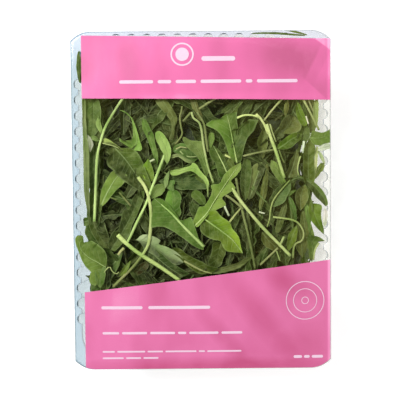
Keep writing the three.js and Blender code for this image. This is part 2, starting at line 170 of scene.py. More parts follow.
def wall_outline(inset, flute_depth):
    """The fluted wall at one level, turning left from the right side's lower end."""
    radius = CORNER_RADIUS - CORNER_TIGHTENING * inset
    points = []
    for side in SIDES:
        wall = side["reach"] - inset
        for sideways, depth in flute_points(side["flutes"]):
            points.append(beside(side, wall + flute_depth * depth, sideways))
        for step in range(CORNER_STEPS + 1):
            turn = math.pi / 2 * step / CORNER_STEPS
            outward = wall - radius + radius * math.cos(turn)
            sideways = side["run"] - inset - radius + radius * math.sin(turn)
            points.append(beside(side, outward, sideways))
    return points


def flange_outline(inset):
    """The flange's edge, with one point for each point of the wall's outline."""
    points = []
    cut = corner_cut(inset, CORNER_STEPS - 2)
    for number, side in enumerate(SIDES):
        edge = side["reach"] + WALL_INSIDE_EDGE - inset
        points.extend(beside(side, edge, sideways) for sideways, _ in flute_points(side["flutes"]))
        turn = [
            (HALF_WIDTH - inset, WALL_Y - CORNER_RADIUS),
            *cut,
            (WALL_X - CORNER_RADIUS, HALF_LENGTH - inset),
        ]
        if number % 2:
            turn = [(-x, y) for x, y in reversed(turn)]
        sign = 1 if number < 2 else -1
        points.extend((sign * x, sign * y) for x, y in turn)
    return points


# Meshes

def make_object(name, places, faces):
    mesh = bpy.data.meshes.new(name)
    mesh.from_pydata([tuple(c * MM for c in place) for place in places], [], faces)
    mesh.validate()
    mesh.update()
    obj = bpy.data.objects.new(name, mesh)
    bpy.context.scene.collection.objects.link(obj)
    mesh.shade_smooth()
    return obj


def add_point_colours(mesh, name, colours):
    attribute = mesh.attributes.new(name, "FLOAT_COLOR", "POINT")
    attribute.data.foreach_set("color", [v for colour in colours for v in (*colour, 1.0)])


def loft_rings(rings):
    """Places and faces through rings of equally many points."""
    count = len(rings[0])
    places = [place for ring in rings for place in ring]
    faces = []
    for ring in range(len(rings) - 1):
        for side in range(count):
            following = (side + 1) % count
            low = ring * count
            faces.append((low + side, low + following, low + count + following, low + count + side))
    return places, faces


def make_tray():
    """One lofted skin from the curled skirt over the flange, down the flutes and over the floor.

    The sheet's bends, where the plastic is seen edge on, are marked from 0 to 1.
    """
    rings = []
    bends = []

    def add_level(outline, z, bend):
        rings.append([(x, y, z) for x, y in outline])
        bends.append(bend)

    skirt = FLANGE_TOP - CURL_RISE - CURL_SKIRT
    add_level(flange_outline(SHEET), skirt, 0.6)
    add_level(flange_outline(0.0), skirt, 0.6)
    add_level(flange_outline(0.0), FLANGE_TOP - CURL_RISE, 0.5)
    add_level(flange_outline(0.35 * CURL_RUN), FLANGE_TOP - 0.4 * CURL_RISE, 0.45)
    add_level(flange_outline(CURL_RUN), FLANGE_TOP, 0.0)
    add_level(flange_outline(2.2 * CURL_RUN), FLANGE_TOP, 0.0)
    add_level(wall_outline(-0.55, FLUTE_DEPTH), FLANGE_TOP, 0.0)
    add_level(wall_outline(-0.1, FLUTE_DEPTH), FLANGE_TOP - 0.05, 1.0)
    add_level(wall_outline(0.25, FLUTE_DEPTH), FLANGE_TOP - 0.4, 1.0)
    add_level(wall_outline(SHEET, FLUTE_DEPTH), FLANGE_TOP - 1.6, 0.1)
    for z in (46, 38, 30, 22, 14, 8):
        add_level(wall_outline(wall_inset(z) + SHEET, FLUTE_DEPTH), z, 0.0)
    edge_steps = 4
    for step in range(edge_steps + 1):
        turn = math.pi / 2 * step / edge_steps
        z = SHEET + FLOOR_EDGE_RISE * (1 - math.sin(turn))
        inset = wall_inset(z) + SHEET + FLOOR_EDGE_RUN * (1 - math.cos(turn))
        depth = FLUTE_DEPTH * (1 - (1 - FLOOR_FLUTE_SHARE) * step / edge_steps)
        add_level(wall_outline(inset, depth), z, 0.35)
    base = wall_outline(wall_inset(0) + SHEET + FLOOR_EDGE_RUN, FLUTE_DEPTH * FLOOR_FLUTE_SHARE)
    for scale in (0.93, 0.8, 0.6, 0.35, 0.1):
        add_level([(x * scale, y * scale) for x, y in base], SHEET + 0.25 * (1 - scale), 0.0)
    places, faces = loft_rings(rings)
    last = (len(rings) - 1) * len(base)
    faces.append(tuple(range(last, last + len(base))))
    obj = make_object("tray_shell", places, faces)
    add_point_colours(obj.data, "bend", [(bend, bend, bend) for bend in bends for _ in base])
    return obj


SHEET_COLUMNS = 90


def sheet(name, left, right, low_edge, high_edge, rows, level):
    """A sheet that follows the film between two edges, given as heights y at x."""
    places = []
    for column in range(SHEET_COLUMNS + 1):
        x = left + (right - left) * column / SHEET_COLUMNS
        low, high = low_edge(x), high_edge(x)
        for row in range(rows + 1):
            y = low + (high - low) * row / rows
            places.append((x, y, level + film_rise(x, y)))
    stride = rows + 1
    faces = []
    for column in range(SHEET_COLUMNS):
        for row in range(rows):
            a = column * stride + row
            faces.append((a, a + stride, a + stride + 1, a + 1))
    return make_object(name, places, faces)


def slanted(left_y, right_y):
    return lambda x: left_y + (right_y - left_y) * (x - PRINT_LEFT) / (HALF_WIDTH - PRINT_LEFT)


# Tones of leaves and stems

TONES = {
    "pale": (0.265, 0.355, 0.110),
    "bright": (0.172, 0.265, 0.058),
    "vivid": (0.118, 0.184, 0.016),
    "leafy": (0.112, 0.188, 0.034),
    "mid": (0.092, 0.144, 0.028),
    "haze": (0.090, 0.104, 0.028),
    "olive": (0.132, 0.142, 0.034),
    "brown": (0.036, 0.024, 0.004),
    "shade": (0.058, 0.088, 0.018),
    "deep": (0.038, 0.068, 0.010),
    "chalk": (0.290, 0.345, 0.165),
    "silver": (0.420, 0.440, 0.350),
    "straw": (0.330, 0.360, 0.110),
    "beige": (0.600, 0.600, 0.360),
    "cream": (1.000, 0.840, 0.900),
    "stem_bright": (0.740, 0.850, 0.310),
    "stem_green": (0.640, 0.770, 0.290),
    "stem_pale": (0.500, 0.570, 0.220),
    "stem_olive": (0.240, 0.265, 0.095),
    "stem_white": (0.930, 0.960, 0.700),
    "stem_brown": (0.400, 0.420, 0.170),
}


# Outlines of blades: share of the width along the blade, from the stalk at 0 to the tip at 1

def plain_share(t):
    return math.sin(math.pi * t ** 0.8) ** 0.8


def strap_share(t):
    return 0.25 + 0.75 * math.sin(math.pi * t ** 0.9) ** 0.5


def smooth_share(t):
    return math.sin(math.pi * t ** 0.72) ** 0.75


def tongue_share(t):
    """A leaf's end lobe on a narrow rachis that carries the side lobes."""
    rachis = 0.13 + 0.10 * t
    end = max(0.0, 1 - abs((t - 0.80) / 0.22) ** 2.2)
    return max(rachis * min(1, (1 - t) / 0.1), 0.78 * end)


def slim_share(t):
    return 0.72 * plain_share(t)


def oak_share(t):
    return 0.55 * smooth_share(t)


# Lobes stand at (place along the blade, size, half of the lobe's length)
FORMS = {
    "plain": {"share": plain_share, "lobes": []},
    "smooth": {"share": smooth_share, "lobes": []},
    "strap": {"share": strap_share, "lobes": []},
    "notched": {"share": slim_share, "lobes": [(0.24, 0.8, 0.08), (0.45, 1.0, 0.09), (0.66, 0.9, 0.08)]},
    "lobed": {"share": tongue_share, "lobes": [(0.22, 0.55, 0.055), (0.39, 0.85, 0.065), (0.57, 1.0, 0.075)]},
    "oak": {"share": oak_share, "lobes": [(0.2, 0.85, 0.1), (0.45, 1.0, 0.11), (0.7, 0.85, 0.11)]},
}
LOBE_JITTER = 0.035
HALF_COLUMNS = 5
ROW_SPACING = 1.4
NARROWEST_HALF = 0.3


class Foliage:
    """Collects leaves and stems: their places, faces, tones and the coordinates of each leaf.

    The leaf coordinates are hundreds of millimetres along and across the blade, and the traits
    are how far along it is from 0 to 1, how far out to the edge, and how pale its midrib is.
    """

    def __init__(self, painted_shade=None):
        self.painted_shade = painted_shade
        self.places = []
        self.faces = []
        self.tones = []
        self.blades = []
        self.traits = []

    def add(self, place, tone, blade, traits):
        # Painted shade: the tone is darkened by how much light is painted for its place.
        if self.painted_shade:
            light = self.painted_shade(place)
            tone = tuple(c * light for c in tone)
        self.places.append(place)
        self.tones.append(tone)
        self.blades.append(blade)
        self.traits.append(traits)

    def build(self, name):
        obj = make_object(name, self.places, self.faces)
        mesh = obj.data
        add_point_colours(mesh, "tone", self.tones)
        add_point_colours(mesh, "traits", self.traits)
        layer = mesh.uv_layers.new(name="blade")
        corners = [0] * len(mesh.loops)
        mesh.loops.foreach_get("vertex_index", corners)
        layer.data.foreach_set("uv", [v for c in corners for v in self.blades[c]])
        return obj


def spline_at(points, span, u):
    """A point on the Catmull-Rom spline through all the points, a share u into one span."""
    b, c = points[span], points[span + 1]
    a = points[span - 1] if span > 0 else b + (b - c)
    d = points[span + 2] if span + 2 < len(points) else c + (c - b)
    cubic = 3 * b - a - 3 * c + d
    square = 2 * a - 5 * b + 4 * c - d
    point = 0.5 * (2 * b + (c - a) * u + square * u ** 2 + cubic * u ** 3)
    tangent = 0.5 * ((c - a) + 2 * square * u + 3 * cubic * u ** 2)
    return point, tangent.normalized()


def spline_point(points, t):
    spans = len(points) - 1
    place = min(max(t, 0.0), 1.0) * spans
    span = min(int(place), spans - 1)
    return spline_at(points, span, place - span)


def spline_length(points, steps=16):
    samples = [spline_point(points, step / steps)[0] for step in range(steps + 1)]
    return sum((two - one).length for one, two in zip(samples, samples[1:]))


# How far leaves keep from the inner wall and above the floor's rim
WALL_GAP = 0.5
FLOOR_GAP = 1.2


def wall_excess(x, y, z):
    """How far a place lies outside the tray's inner wall, and the direction out of it."""
    inset = wall_inset(min(z, FLANGE_TOP)) + SHEET + WALL_GAP
    radius = CORNER_RADIUS - CORNER_TIGHTENING * inset
    over_x = abs(x) - (WALL_X - inset - radius)
    over_y = abs(y) - (WALL_Y - inset - radius)
    if over_x > 0 and over_y > 0:
        far = math.hypot(over_x, over_y)
        return far - radius, (math.copysign(over_x / far, x), math.copysign(over_y / far, y))
    if over_x > over_y:
        return over_x - radius, (math.copysign(1, x), 0)
    return over_y - radius, (0, math.copysign(1, y))


def inside_pack(point, clear=0.7):
    """Moves a place under the film, above the floor and within the walls."""
    ceiling = FILM_UNDERSIDE + film_rise(point.x, point.y) - clear
    point.z = max(min(point.z, ceiling), SHEET + FLOOR_GAP)
    excess, out = wall_excess(point.x, point.y, point.z)
    if excess > 0:
        point.x -= excess * out[0]
        point.y -= excess * out[1]
    return point


SEALED_LEVEL = FLANGE_TOP + 0.18
SEALED_FROM = 1.2
SEALED_INSET = 0.8


def inside_seal(point, clear=0.7):
    """Like inside_pack, but a place beyond the wall is sealed between the flange and the film."""
    if abs(point.x) > WALL_X - SEALED_FROM or abs(point.y) > WALL_Y - SEALED_FROM:
        point.z = SEALED_LEVEL
        point.x = max(min(point.x, HALF_WIDTH - SEALED_INSET), SEALED_INSET - HALF_WIDTH)
        point.y = max(min(point.y, HALF_LENGTH - SEALED_INSET), SEALED_INSET - HALF_LENGTH)
        return point
    return inside_pack(point, clear)


class BladeLook:
    """How one blade is folded, waved and toned, with painted light on one half, drawn at random."""

    def __init__(self, rng, tone, shade=1.0, rib=None, fold=None, slope=None, painted_half_light=None):
        upright = 1 if rng.random() < 0.72 else -1
        self.fold = upright * rng.uniform(0.12, 0.6) if fold is None else fold
        self.ruffle = rng.uniform(0.06, 0.22)
        self.wave_length = rng.uniform(9, 18)
        self.pucker = rng.uniform(0.1, 0.4)
        self.pucker_length = rng.uniform(1.0, 1.9)
        self.phases = [rng.uniform(0, 6.28), rng.uniform(0, 6.28)]
        self.rib = rng.uniform(0.03, 0.35) if rib is None else rib
        self.slope = rng.uniform(-0.35, 0.35) if slope is None else slope
        self.painted_half_light = rng.uniform(-0.10, 0.10) if painted_half_light is None else painted_half_light
        tint = [rng.uniform(0.88, 1.12), 1, rng.uniform(0.8, 1.25)]
        self.colour = [c * k * shade for c, k in zip(TONES[tone], tint)]

    def lift(self, along, a, half):
        """Height of the surface above the flat blade."""
        side = 0 if a < 0 else 1
        wave = math.sin(2 * math.pi * along / self.wave_length + self.phases[side])
        pucker = math.sin(along / self.pucker_length + self.phases[0])
        pucker *= math.sin(3.5 * abs(a) + self.phases[1])
        level = self.fold * (abs(a) - 0.4) + self.ruffle * a * a * wave
        return half * level + self.pucker * pucker * min(1, half / 4)

    def tone(self, t, a):
        # Painted light: one half is made lighter and the other darker, as if the folded halves met the lamp
        # differently.
        factor = 1 + self.slope * (t - 0.5) + self.painted_half_light * max(-1, min(1, 3 * a))
        return tuple(min(1, c * factor) for c in self.colour)


def lay_blade(foliage, rows, length, look, limit):
    """Two wavy halves between a spine and its edges.

    Each row is how far along it lies from 0 to 1, the spine's place, the direction out of the
    blade, and the places of its two edges.
    """
    first = len(foliage.places)
    for t, middle, outward, edges in rows:
        for column in range(-HALF_COLUMNS, HALF_COLUMNS + 1):
            a = column / HALF_COLUMNS
            reach = edges[0 if a < 0 else 1] - middle
            half = reach.length
            point = middle + reach * abs(a) + outward * look.lift(length * t, a, half)
            limit(point)
            foliage.add(
                tuple(point), look.tone(t, a), (0.01 * length * t, 0.01 * a * half), (t, abs(a), look.rib),
            )
    stride = 2 * HALF_COLUMNS + 1
    for row in range(len(rows) - 1):
        for column in range(stride - 1):
            a = first + row * stride + column
            foliage.faces.append((a, a + 1, a + stride + 1, a + stride))


def add_leaf(foliage, spine, width, form, facing, look, rng, limit=inside_pack):
    """A folded, wavy blade along a spine from stalk to tip, with lobes that point forward."""
    length = spline_length(spine)
    steps = max(10, int(length / ROW_SPACING))
    shape = FORMS[form]
    sweep = rng.uniform(0.25, 0.75)
    roll = rng.uniform(-0.4, 0.4)
    twist = rng.uniform(-0.6, 0.6)
    teeth = [(rng.uniform(14, 26), rng.uniform(0, 6.28)), (rng.uniform(30, 50), rng.uniform(0, 6.28))]
    lobes = [[], []]
    for side_lobes in lobes:
        for at, size, wide in shape["lobes"]:
            at += rng.uniform(-1, 1) * LOBE_JITTER
            size *= rng.uniform(0.75, 1.1)
            wide *= rng.uniform(0.85, 1.25)
            side_lobes.append((at, size, wide))
    rows = []
    for step in range(steps + 1):
        t = step / steps
        middle, tangent = spline_point(spine, t)
        flat = tangent.cross(facing).normalized()
        rise = flat.cross(tangent).normalized()
        angle = roll + twist * (t - 0.5)
        sideways = math.cos(angle) * flat + math.sin(angle) * rise
        outward = math.cos(angle) * rise - math.sin(angle) * flat
        edges = []
        for side, sign in ((0, -1), (1, 1)):
            share = shape["share"](t)
            for at, size, wide in lobes[side]:
                share = max(share, size * max(0.0, 1 - abs((t - at) / wide) ** 1.7))
            for pace, phase in teeth:
                share *= 1 + 0.05 * math.sin(pace * t + phase + side)
            half = max(width / 2 * share, NARROWEST_HALF)
            ahead = sweep * half * min(1, (1 - t) / 0.15)
            edges.append(middle + sideways * (sign * half) + tangent * ahead)
        rows.append((t, middle, outward, edges))
    lay_blade(foliage, rows, length, look, limit)


STEM_SIDES = 8


def add_stem(foliage, points, thickness, tone, rng, limit=inside_pack, taper=0.75, shade=1.0):
    """A slightly flattened stalk along a spline, paler at its cut end, closed at both ends."""
    length = spline_length(points)
    steps = max(6, int(length / 2.0))
    colour = [c * shade * rng.uniform(0.94, 1.06) for c in TONES["stem_" + tone]]
    slope = rng.uniform(-0.3, 0.05)
    phase = rng.uniform(0, 6.28)
    first = len(foliage.places)
    for step in range(steps + 1):
        t = step / steps
        middle, tangent = spline_point(points, t)
        limit(middle, clear=0.35 + thickness / 2)
        sideways = tangent.cross(UP).normalized()
        outward = sideways.cross(tangent).normalized()
        swelling = 1 + 0.06 * math.sin(length * t / 5 + phase)
        radius = thickness / 2 * (1 - (1 - taper) * t) * swelling
        factor = 1 + slope * t + 0.08 * math.sin(length * t / 8 + phase)
        for side in range(STEM_SIDES):
            turn = 2 * math.pi * side / STEM_SIDES
            point = middle + sideways * (radius * math.cos(turn)) + outward * (0.8 * radius * math.sin(turn))
            foliage.add(
                tuple(point), tuple(min(1, c * factor) for c in colour),
                (0.01 * length * t, 0.01 * radius * turn), (t, 0.5, 0.0),
            )
    for step in range(steps):
        for side in range(STEM_SIDES):
            a = first + step * STEM_SIDES + side
            b = first + step * STEM_SIDES + (side + 1) % STEM_SIDES
            foliage.faces.append((a, a + STEM_SIDES, b + STEM_SIDES, b))
    foliage.faces.append(tuple(first + side for side in range(STEM_SIDES)))
    last = first + steps * STEM_SIDES
    foliage.faces.append(tuple(last + side for side in reversed(range(STEM_SIDES))))


def under_film(x, y, depth):
    return Vector((x, y, FILM_UNDERSIDE + film_rise(x, y) - depth))


def seen_at(u, v, depth):
    """The place at a depth under the film that shows at a place of the photograph."""
    half = PHOTO_SIZE / 2
    ray = forward * focal_pixels + rightward * (u - half) + upward * (half - v)
    level = FILM_UNDERSIDE - depth
    for _ in range(3):
        place = camera_place + ray * ((level - camera_place.z) / ray.z)
        level = FILM_UNDERSIDE + film_rise(place.x, place.y) - depth
    return place


# Leaves whose edges can be told apart in the window, by places in the photograph: the spine
# from stalk to tip, the edge on each side, the depth under the film and the tone. Then, where
# it matters: how pale the midrib is (rib), its thickness (stalk), how far the halves fold up,
# how much darker the tip is (slope below 0), how much lighter one half is as painted light
# (painted_half_light) and how bright the whole blade is (shade). None leaves the midrib to chance.
TRACED_LEAVES = {
    "long_lobed": [
        "194,227 207,213 215,200 229,179 241,162",
        "193,222 196,214 199,207 204,206 209,199 212,191 211,185.5 216,184 220,183 224,175 231,168",
        "199,226 209,214 217,209.5 226,204.5 222,198 228,193.5 235.5,188 231,181 236,176 241,169",
        1.0, "bright", {"rib": 0.35, "stalk": 1.2, "fold": 0.2, "slope": -0.3, "shade": 1.3},
    ],
    "big_middle": [
        "204,247 195,238 183,226 171,213 154,198.5",
        ("205,250 200,249 194,246 187,241 180,236 172,230.5 164,227 "
         "157,226.5 151,227 151,217 151,208 152,201"),
        ("203,243 199,239 197,233 195,227 193,221 190.5,217 185,219.5 "
         "180,220 177,215 172,209 167,203 161,198.5"),
        2.0, "leafy", {"rib": 0.6, "stalk": 3.4, "fold": 0.3, "slope": 0.3, "painted_half_light": 0.1, "shade": 1.05},
    ],
    "broad_bright": [
        "203,218 213,225 222,231.5 232,239.5 243,253.5",
        "205,213 210,210.5 216,210.5 221,216 227,220 230.5,223.5 232,228 237,234 239.5,239 241,247",
        "200,228 202,233 207,237 213,239.5 220,241 222,245 226,250.5 232,252 238,252.5",
        1.8, "vivid", {"rib": 0.9, "stalk": 1.7, "fold": 0.25, "slope": 0.6, "painted_half_light": -0.4, "shade": 1.45},
    ],
    "fan": [
        "237,163 235,153 231,132 227,114",
        "232,160 228,152 225,143 220,134 214,129 206,125 211,120.5 219,119.5 223,116",
        "241,161 243,152 247,139 255,129 258.5,119 253,117 246,121.5 239,129 236.5,119 236,112",
        2.2, "leafy", {"rib": 0.7, "stalk": 1.6, "fold": 0.25, "painted_half_light": -0.4, "shade": 0.92},
    ],
    "fan_shaded": [
        "226,118 233,111 243,98", "224,114 229,110 236,104", "236,115 238,108 243,102",
        3.0, "shade", {"rib": None, "painted_half_light": 0.35},
    ],
    "bottom_left": [
        "106,268 97,262 88,257 81,249 78.5,235",
        "104,285 97,286 90,283 90,276 91,272.5 86,267 82,260 79,252 76,244 75.5,238",
        "107,260 105,251 99,245 93,241.5 88,240.5 84,242.5 83.5,238 82,235",
        1.2, "leafy", {"rib": 0.3, "stalk": 0.5, "fold": 0.12, "slope": 0.2, "painted_half_light": -0.12},
    ],
    "lobed_left": [
        "111,250 119,238 127,224 134,210 141,191",
        "108,246 110.5,236 114,231 118,230 120.5,222 122.5,213 124.5,209.5 128,210 131,205 133,198 137,194",
        "115,251 121,245 127,239 130,233 132,226 136,217 140,208 144,198 144,191",
        3.2, "mid", {"rib": 0.15, "slope": 0.2, "painted_half_light": 0.35, "shade": 0.54},
    ],
    "broad_left": [
        "113,146 124,158 130,166 137,176 150,193",
        "107,145 106,151 110.5,156 107,160 108,166 113,170 118,176 127,183 138,190",
        "122,148 131,148 138,153 142,160 146,170 151,184",
        3.0, "mid", {"rib": 0.35, "fold": 0.25, "slope": -0.15, "painted_half_light": 0.5, "shade": 0.74},
    ],
    "arch_left": [
        "133,150 137,140 135,130 132,120 128,113.5 119,110",
        "125,149 122,144.5 119,140 118.8,137 121,140.5 127,140.3 132,139 133,134 132.5,126 131,119 126,113.5",
        "140,151 142,148 140,141 138,134 135.5,126 133,120 130,115.5 124,111",
        2.2, "bright", {"rib": 0.2, "fold": 0.3, "slope": 0.1, "painted_half_light": 0.2, "shade": 1.35},
    ],
    "bright_left": [
        "100,208 107,193 114,181 121,171.5", "100,200 101,192 104,184 108,177 113,171",
        "106,203 112,195.5 117,189.5 123,184.5 127,178 126,173",
        2.6, "bright", {"rib": 0.7, "fold": 0.3, "slope": -0.2, "painted_half_light": -0.1, "shade": 1.15},
    ],
    "slim_left": [
        "157,167 154,152 151,140 147,130 143,118.5",
        "156,163 153.5,156 151,149 148.5,142 146,136 143,130 142,125 141.8,121",
        "158,161 158,154 156.5,148 155,142 154,135 151,129.5 148,123 145,119",
        3.2, "bright", {"painted_half_light": -0.15, "shade": 0.95},
    ],
    "blunt_pale": [
        "167,164 167,155 164,146 160,137 157.5,131",
        "164.5,160 164,155 161,150 159,145.5 156.5,141 155.2,136 155.6,132.5",
        "169.5,160 171,154 171,149 169.5,144 167,139 164,134.5 160.5,131.5",
        1.4, "pale", {"fold": 0.15, "slope": 0.2, "shade": 1.35},
    ],
    "olive_high": [
        "159,97 166,106 172,115 174,124 172,133 171,141",
        "155,100 158,105.5 163,111 168,117 171,122 171.5,127 171,133 169,139",
        "163,97 169,103 173,109.5 177,117 177,121 175,127 174,134",
        3.2, "olive", {"slope": -0.5},
    ],
    "olive_behind": [
        "193,97 196,107 199,114 203.5,123", "190,99 191,104 193,111 196,117",
        "196,98 198,105 201,112 203,118",
        4.0, "olive", {"rib": 0.2},
    ],
    "lobe_by_stem": [
        "208,174 204,162 199,151 192,144 183,137",
        "207,179 203,170 200,162 196,155 191,151 187,147 184,142.5 182.3,139",
        "209,170 206,160 204.5,150 203.5,142 197,141 190,140 186,137.5",
        2.4, "bright", {"fold": 0.2, "slope": -0.1, "shade": 0.85, "painted_half_light": 0.1},
    ],
    "arch_strap": [
        "170,173 180,171 190,168.5 196,168.5 202,175.5 206.5,182 207.5,192",
        "170,171 178,169 186,167 190.5,165.5 193,162.5 197,165 200,170 203.5,174 207,178 209,184",
        "172,175.5 178,175 184,172.5 190,171 195,173 199,176.5 203,180 205.5,184 206.5,188",
        1.8, "pale", {"fold": 0.35, "painted_half_light": -0.08, "shade": 1.75},
    ],
    "curl_high": [
        "172,152 180,149 190,150 199,158", "174,147 181,143 189,146 196,152",
        "176,153 182,156 189,160 195,162",
        3.2, "leafy", {"rib": 0.3, "fold": 0.5, "painted_half_light": -0.25},
    ],
    "small_spoon": [
        "210,152 210.5,145 211.5,138 211,132.3", "209.3,147 208.6,142 208.6,137 209.3,134",
        "210.8,149 212.5,144.5 214.3,140 214.3,136 213,133",
        2.8, "leafy", {"shade": 1.2},
    ],
    "ribbed_middle": [
        "228,175 224,166 219,156 213,145", "220,178 217,170 215,163 211,158 209,151 211,147",
        "230,172 227,164 223,155 218,149",
        3.0, "mid", {"rib": 0.5, "stalk": 1.5, "fold": 0.4, "shade": 0.76, "painted_half_light": -0.15},
    ],
    "round_behind": [
        "174,221 173,205 172,189.5", "166,214 164.5,205 166,197 168.5,190.5",
        "181,214 180,206 181.5,198 179.5,193 176,190",
        3.6, "leafy", {"painted_half_light": -0.3, "shade": 1.3},
    ],
    "lobe_behind": [
        "205,205 199,197 192,192", "201,205 196,201 191,196", "206,201 204,196 200,191.5 195,190",
        3.6, "leafy", {},
    ],
    "slope_mid_left": [
        "150,183 148,171 148,158.5", "144,178 142.5,170 143.5,165 146,161.5",
        "154,178 153.5,171 151.5,165 150,161",
        2.8, "vivid", {"painted_half_light": -0.25, "shade": 1.8},
    ],
    "pale_low": [
        "136,240 148,242 158,249 168,256 183,263",
        ("142,235 149,234.8 156,237.5 160.5,241 158.6,244.2 164,246 "
         "168.5,247.6 175.4,251.5 181,256.5 183.5,260.5"),
        "140,242.5 144,248 149,252.5 156,256 163,259.5 170,262.5 177,265",
        2.4, "chalk", {"rib": 0.2, "fold": -0.15, "slope": -0.35, "painted_half_light": -0.55, "shade": 0.85},
    ],
    "green_low": [
        "143,248 155,256 167,266 183,277", "150,246 160,252 170,261 179,267 190,274",
        "141,252 150,261 160,266 169,273 176,279",
        2.9, "leafy", {"rib": 0.3, "fold": 0.2, "slope": -0.5, "painted_half_light": -0.4, "shade": 0.28},
    ],
    "olive_low": [
        "171,249 184,258 196,266 212,273",
        "173,247.5 180,248.5 187,254 195,258.5 203,262 209,265.5 219,268",
        "173,253 179,257.5 186,264.5 193,270 201,274",
        3.0, "vivid", {"slope": 0.2, "shade": 0.45},
    ],
    "olive_fold": [
        "222,241 219,250 217,259 214,269", "213,243 212,250 210,257 208,262 210,267",
        "221,241 224.5,247 225.5,253 223,259 221,265",
        3.4, "vivid", {"fold": 0.5, "slope": -0.4, "shade": 0.38},
    ],
    "dark_bottom_left": [
        "91,212 95,226 101,238 110,249.5", "88,215 88.5,224 91.5,233 96,240 101,246.5",
        "95,212 102,218 106,228 109,238",
        4.0, "shade", {"painted_half_light": -0.4, "shade": 0.6},
    ],
    "corner_high": [
        "93,97 93,118 91,138", "86,100 86,112 86,124 87,133", "98.5,100 101,110 101,120 98.5,130 95,135",
        3.6, "leafy", {"slope": -0.3, "shade": 0.8},
    ],
    "petiole_leaflet": [
        "101.5,134 99.5,126 98.5,115.5", "99.5,132 96.5,127 95.5,123 97,119",
        "102.8,131 101.8,127 100.5,122 99.2,118.5",
        1.6, "pale", {"shade": 1.4},
    ],
    "left_strip": [
        "84,97 84.5,130 86.5,165 87,190 88.5,218", "82,100 82.6,120 83,140 83.5,165 84,190 87,210",
        "85.5,100 86,120 87,136 89,150 89.3,170 89.5,200 89.8,212",
        1.3, "chalk", {"rib": 0.0, "slope": -0.6, "shade": 0.75},
    ],
    "curl_left": [
        "102,143 110,142 117,145.5 124,151", "104,138.5 108,139 112,141.5 116,144.5 120,147.5",
        "105,144.5 110,145.3 115,147 120,150",
        2.2, "pale", {"rib": 0.0, "fold": 0.2, "shade": 0.85, "painted_half_light": -0.65},
    ],
    "upright_mid": [
        "245,201 245.5,180 247,159", "243,197 240.5,188 240.5,176 242,166 244,159.5",
        "247.5,197 249.5,187 251,177 251.5,169 250,160.5",
        2.8, "mid", {"slope": 0.6, "painted_half_light": 0.15, "shade": 0.6},
    ],
    "haze_mid": [
        "249,200 255,182 262,162", "246.5,196 248,186 250,176 251.5,168 256,163.5",
        "253,197 257,188 261,179 264,171 265,163.5",
        4.0, "haze", {"rib": 0.5, "painted_half_light": -0.7, "shade": 1.7},
    ],
    "haze_fold": [
        "285,187 279,174 271,160", "281,184 275,176 270.5,168", "286,182 282,172 277,163",
        3.2, "mid", {"rib": None, "slope": 0.2, "painted_half_light": 0.2, "shade": 1.95},
    ],
    "grey_high_right": [
        "281,132 289,126 294,116", "279,128 281,122 285,117 290,114",
        "286,134 293,133.5 299,131 301,126 298,120",
        4.2, "haze", {"painted_half_light": 0.5, "shade": 0.8},
    ],
    "lance_right": [
        "276,149.5 284,145 292,139 302,134", "277,147 280,142 285,138 290,134.5 296,132.5",
        "280,149.3 286,149 292,147 296,143 301,139",
        3.0, "vivid", {"rib": 0.3, "slope": -0.5, "painted_half_light": -0.35},
    ],
    "bright_high_right": [
        "297,101 299,111 303,119 306,126", "295.5,107 296,114 298.5,121 302,125.5",
        "299.5,104 303,111 306,118 307.5,123",
        2.8, "vivid", {},
    ],
    "pleat_right": [
        "289,178 294,164 297,149", "284,176 288,169 291.5,161 294,154", "297,176 297.5,166 299,157",
        3.2, "haze", {"rib": 0.3, "slope": 0.3, "shade": 0.8},
    ],
    "sealed_right": [
        "310,138 320,138 331,135.5", "312,131 317,131.5 322,132.5 327,131 330.5,129",
        "312,143 318,145.5 325,143.5 330.5,142",
        0.5, "leafy", {"rib": 0.2, "fold": 0.05, "shade": 1.15},
    ],
    "upright_right": [
        "309,185 308.5,163 309.5,139", "304,182 303,172 303,160 304,148",
        "314,182 314.5,172 314,160 315,146",
        2.2, "vivid", {"rib": 0.2, "fold": 0.5, "slope": -0.3, "painted_half_light": 0.1, "shade": 0.47},
    ],
    "tip_right": [
        "311,181 317,172 323.5,163", "312.5,173 317,167.5 321.5,162.5", "315,179.5 320,174 324,167",
        2.6, "olive", {"rib": None, "painted_half_light": 0.25, "shade": 1.3},
    ],
    "arch_right": [
        "291,181 299,177.5 309,182 317,189 324,199 325,206",
        "296,175.5 303,177 311,180 317,184.5 322,190 326,197 327.5,204",
        "294,181 300,180 306,184 311,190 315,196 320,201",
        2.4, "shade", {"rib": 0.2, "fold": 0.4, "painted_half_light": -0.6, "shade": 1.15},
    ],
    "low_right": [
        "311,200 314,212 318,222 323.5,234", "309,206 308,212 310,217 312,222 316,227 320,231",
        "313,203 319,204 321.5,206 321,213 321.5,221 323,228",
        2.8, "vivid", {"rib": 0.2, "slope": -0.2},
    ],
    "round_right": [
        "301,211 301,198 304,185", "299,209 296,203 295,196 297,190", "305,205 308,198 308,191 306,186.5",
        2.6, "haze", {"rib": 0.2, "slope": 0.4, "painted_half_light": 0.3, "shade": 1.1},
    ],
    "ribbed_right": [
        "271,207 275,199 281,190 290,180", "269,201 273,193 279,186", "277,206 284,202 287,196 291,188",
        2.6, "mid", {"rib": 0.2, "fold": 0.3, "painted_half_light": 0.3, "shade": 0.72},
    ],
    "star_right": [
        "312,262 313,252 312,243 309,232", "309,256 308.5,247 307.5,240",
        "313.5,256 315,250 317,244 320,240.5 324.5,241 321,238 317,236 312.5,235.5",
        2.4, "leafy", {"shade": 0.66},
    ],
}

